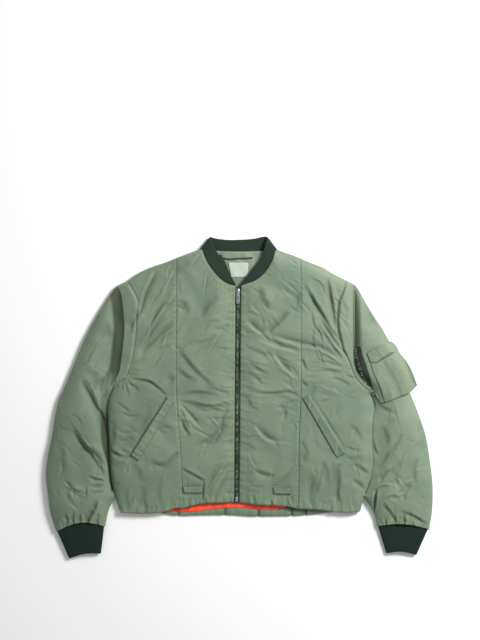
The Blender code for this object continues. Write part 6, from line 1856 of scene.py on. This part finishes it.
bulge = smooth(POCKET_BULGE)
slot_line = smooth(PEN_BAND_FOOT[1:4], 2.0) - np.array([0.0, 1.6])
for part, top_line, foot_line, inner_edge, span in (
        ("panel", PANEL_TOP, PANEL_FOOT, PANEL_EDGE, (0.20, 1.0)),
        ("pen_band", PEN_BAND_TOP, PEN_BAND_FOOT, [PEN_BAND_TOP[0], PEN_BAND_FOOT[0]],
         (0.0, 0.30))):
    outer_edge = along(bulge, np.linspace(*span, 30))
    top_line = smooth(top_line[:-1] + [tuple(outer_edge[0])], 2.0)
    foot_line = smooth(foot_line[:-1] + [tuple(outer_edge[-1])], 2.0)
    inner_line = smooth(inner_edge, 2.0)
    grid = patch(top_line, foot_line, inner_line, outer_edge, 1.8)
    inset = ease(abs(beside(grid.reshape(-1, 2), bulge)[0]) / 20.0)
    places = pocket_places(grid, OUTER_LIFT + (POCKET_LIFT[part] - OUTER_LIFT) * inset, 80)
    places[..., 2] += pillow(grid, POCKET_EDGE, 2.0) * (0.3 + 0.7 * inset.reshape(grid.shape[:2]))
    # painted shade: a dark slot under the pen band, and dark lines along the inner and top edges
    shade = np.zeros(grid.shape[:2])
    if part == "panel":
        shade = mark_line(places, shade, slot_line, 0.8, 1.6, 1.5)
    for path, dark in ((inner_line, 1.1), (top_line, 0.6)):
        shade = mark_line(places, shade, path, 0.2, dark, 1.3)
    dress(f"sleeve_pocket_{part}_cloth", grid, places, f"sleeve_pocket_{part}",
          [SATIN], thickness=POCKET_WALL, shade=shade)


# ---------------------------------------------------------------- topstitching
STITCH = (2.6, 0.6, 0.5)        # along the row, across it, high
STITCH_PITCH = 3.4

stitches = []
for row in STITCH_ROWS:
    line = squares(row, 2.0)
    spots = along(line, np.linspace(0, 1, round(length_of(line) / STITCH_PITCH)))
    turns = np.gradient(spots, axis=0)
    for spot, turn, height in zip(spots, turns, upper_height(spots, front_relief)[0]):
        stitches.append(((spot[0], spot[1], height + 0.1), STITCH, math.atan2(turn[1], turn[0])))
solids("topstitching", THREAD, stitches)


# ---------------------------------------------------------------- floor, light and camera
FLOOR_DROP = 0.0006     # metres, below the jacket
LAMP_WAY = (0.62, 0.45, 0.64)
LAMP_AWAY = 2.6
CAMERA_HEIGHT = 4.0
CAMERA_PLACE = (0.00175, 0.193)
HALF_VIEW = 0.8         # what the picture shows above and below its middle
PICTURE_LEVEL = 0.015   # at this height


def make_stage():
    """A pale floor, soft light from the upper right and a camera straight above."""
    bm = bmesh.new()
    bmesh.ops.create_grid(bm, x_segments=1, y_segments=1, size=6.0)
    mesh = bpy.data.meshes.new("floor")
    bm.to_mesh(mesh)
    bm.free()
    floor = bpy.data.objects.new("floor", mesh)
    bpy.context.scene.collection.objects.link(floor)
    material, tree, shader = new_material("pale_floor")
    settings(tree, shader, Base_Color=(0.97, 0.97, 0.97, 1), Roughness=0.9,
             Specular_IOR_Level=0.1)
    mesh.materials.append(material)
    floor.location.z = -FLOOR_DROP

    world = bpy.data.worlds.new("studio")
    world.use_nodes = True
    settings(world.node_tree, world.node_tree.nodes["Background"], Color=(1.0, 1.0, 1.0, 1),
             Strength=0.42)
    bpy.context.scene.world = world

    key = bpy.data.lights.new("key", "AREA")
    key.shape = "DISK"
    key.size = 0.9
    key.energy = 84.0
    lamp = bpy.data.objects.new("key", key)
    lamp.location = Vector(LAMP_WAY) * LAMP_AWAY
    lamp.rotation_euler = lamp.location.to_track_quat("Z", "Y").to_euler()
    bpy.context.scene.collection.objects.link(lamp)

    camera = bpy.data.cameras.new("camera")
    camera.sensor_fit = "VERTICAL"
    camera.angle = 2 * math.atan(HALF_VIEW / CAMERA_HEIGHT)
    eye = bpy.data.objects.new("camera", camera)
    eye.location = (*CAMERA_PLACE, CAMERA_HEIGHT + PICTURE_LEVEL)
    bpy.context.scene.collection.objects.link(eye)
    bpy.context.scene.camera = eye
    bpy.context.scene.view_settings.view_transform = "Standard"


make_stage()

for piece, body in pieces_body.items():
    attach(piece, body)
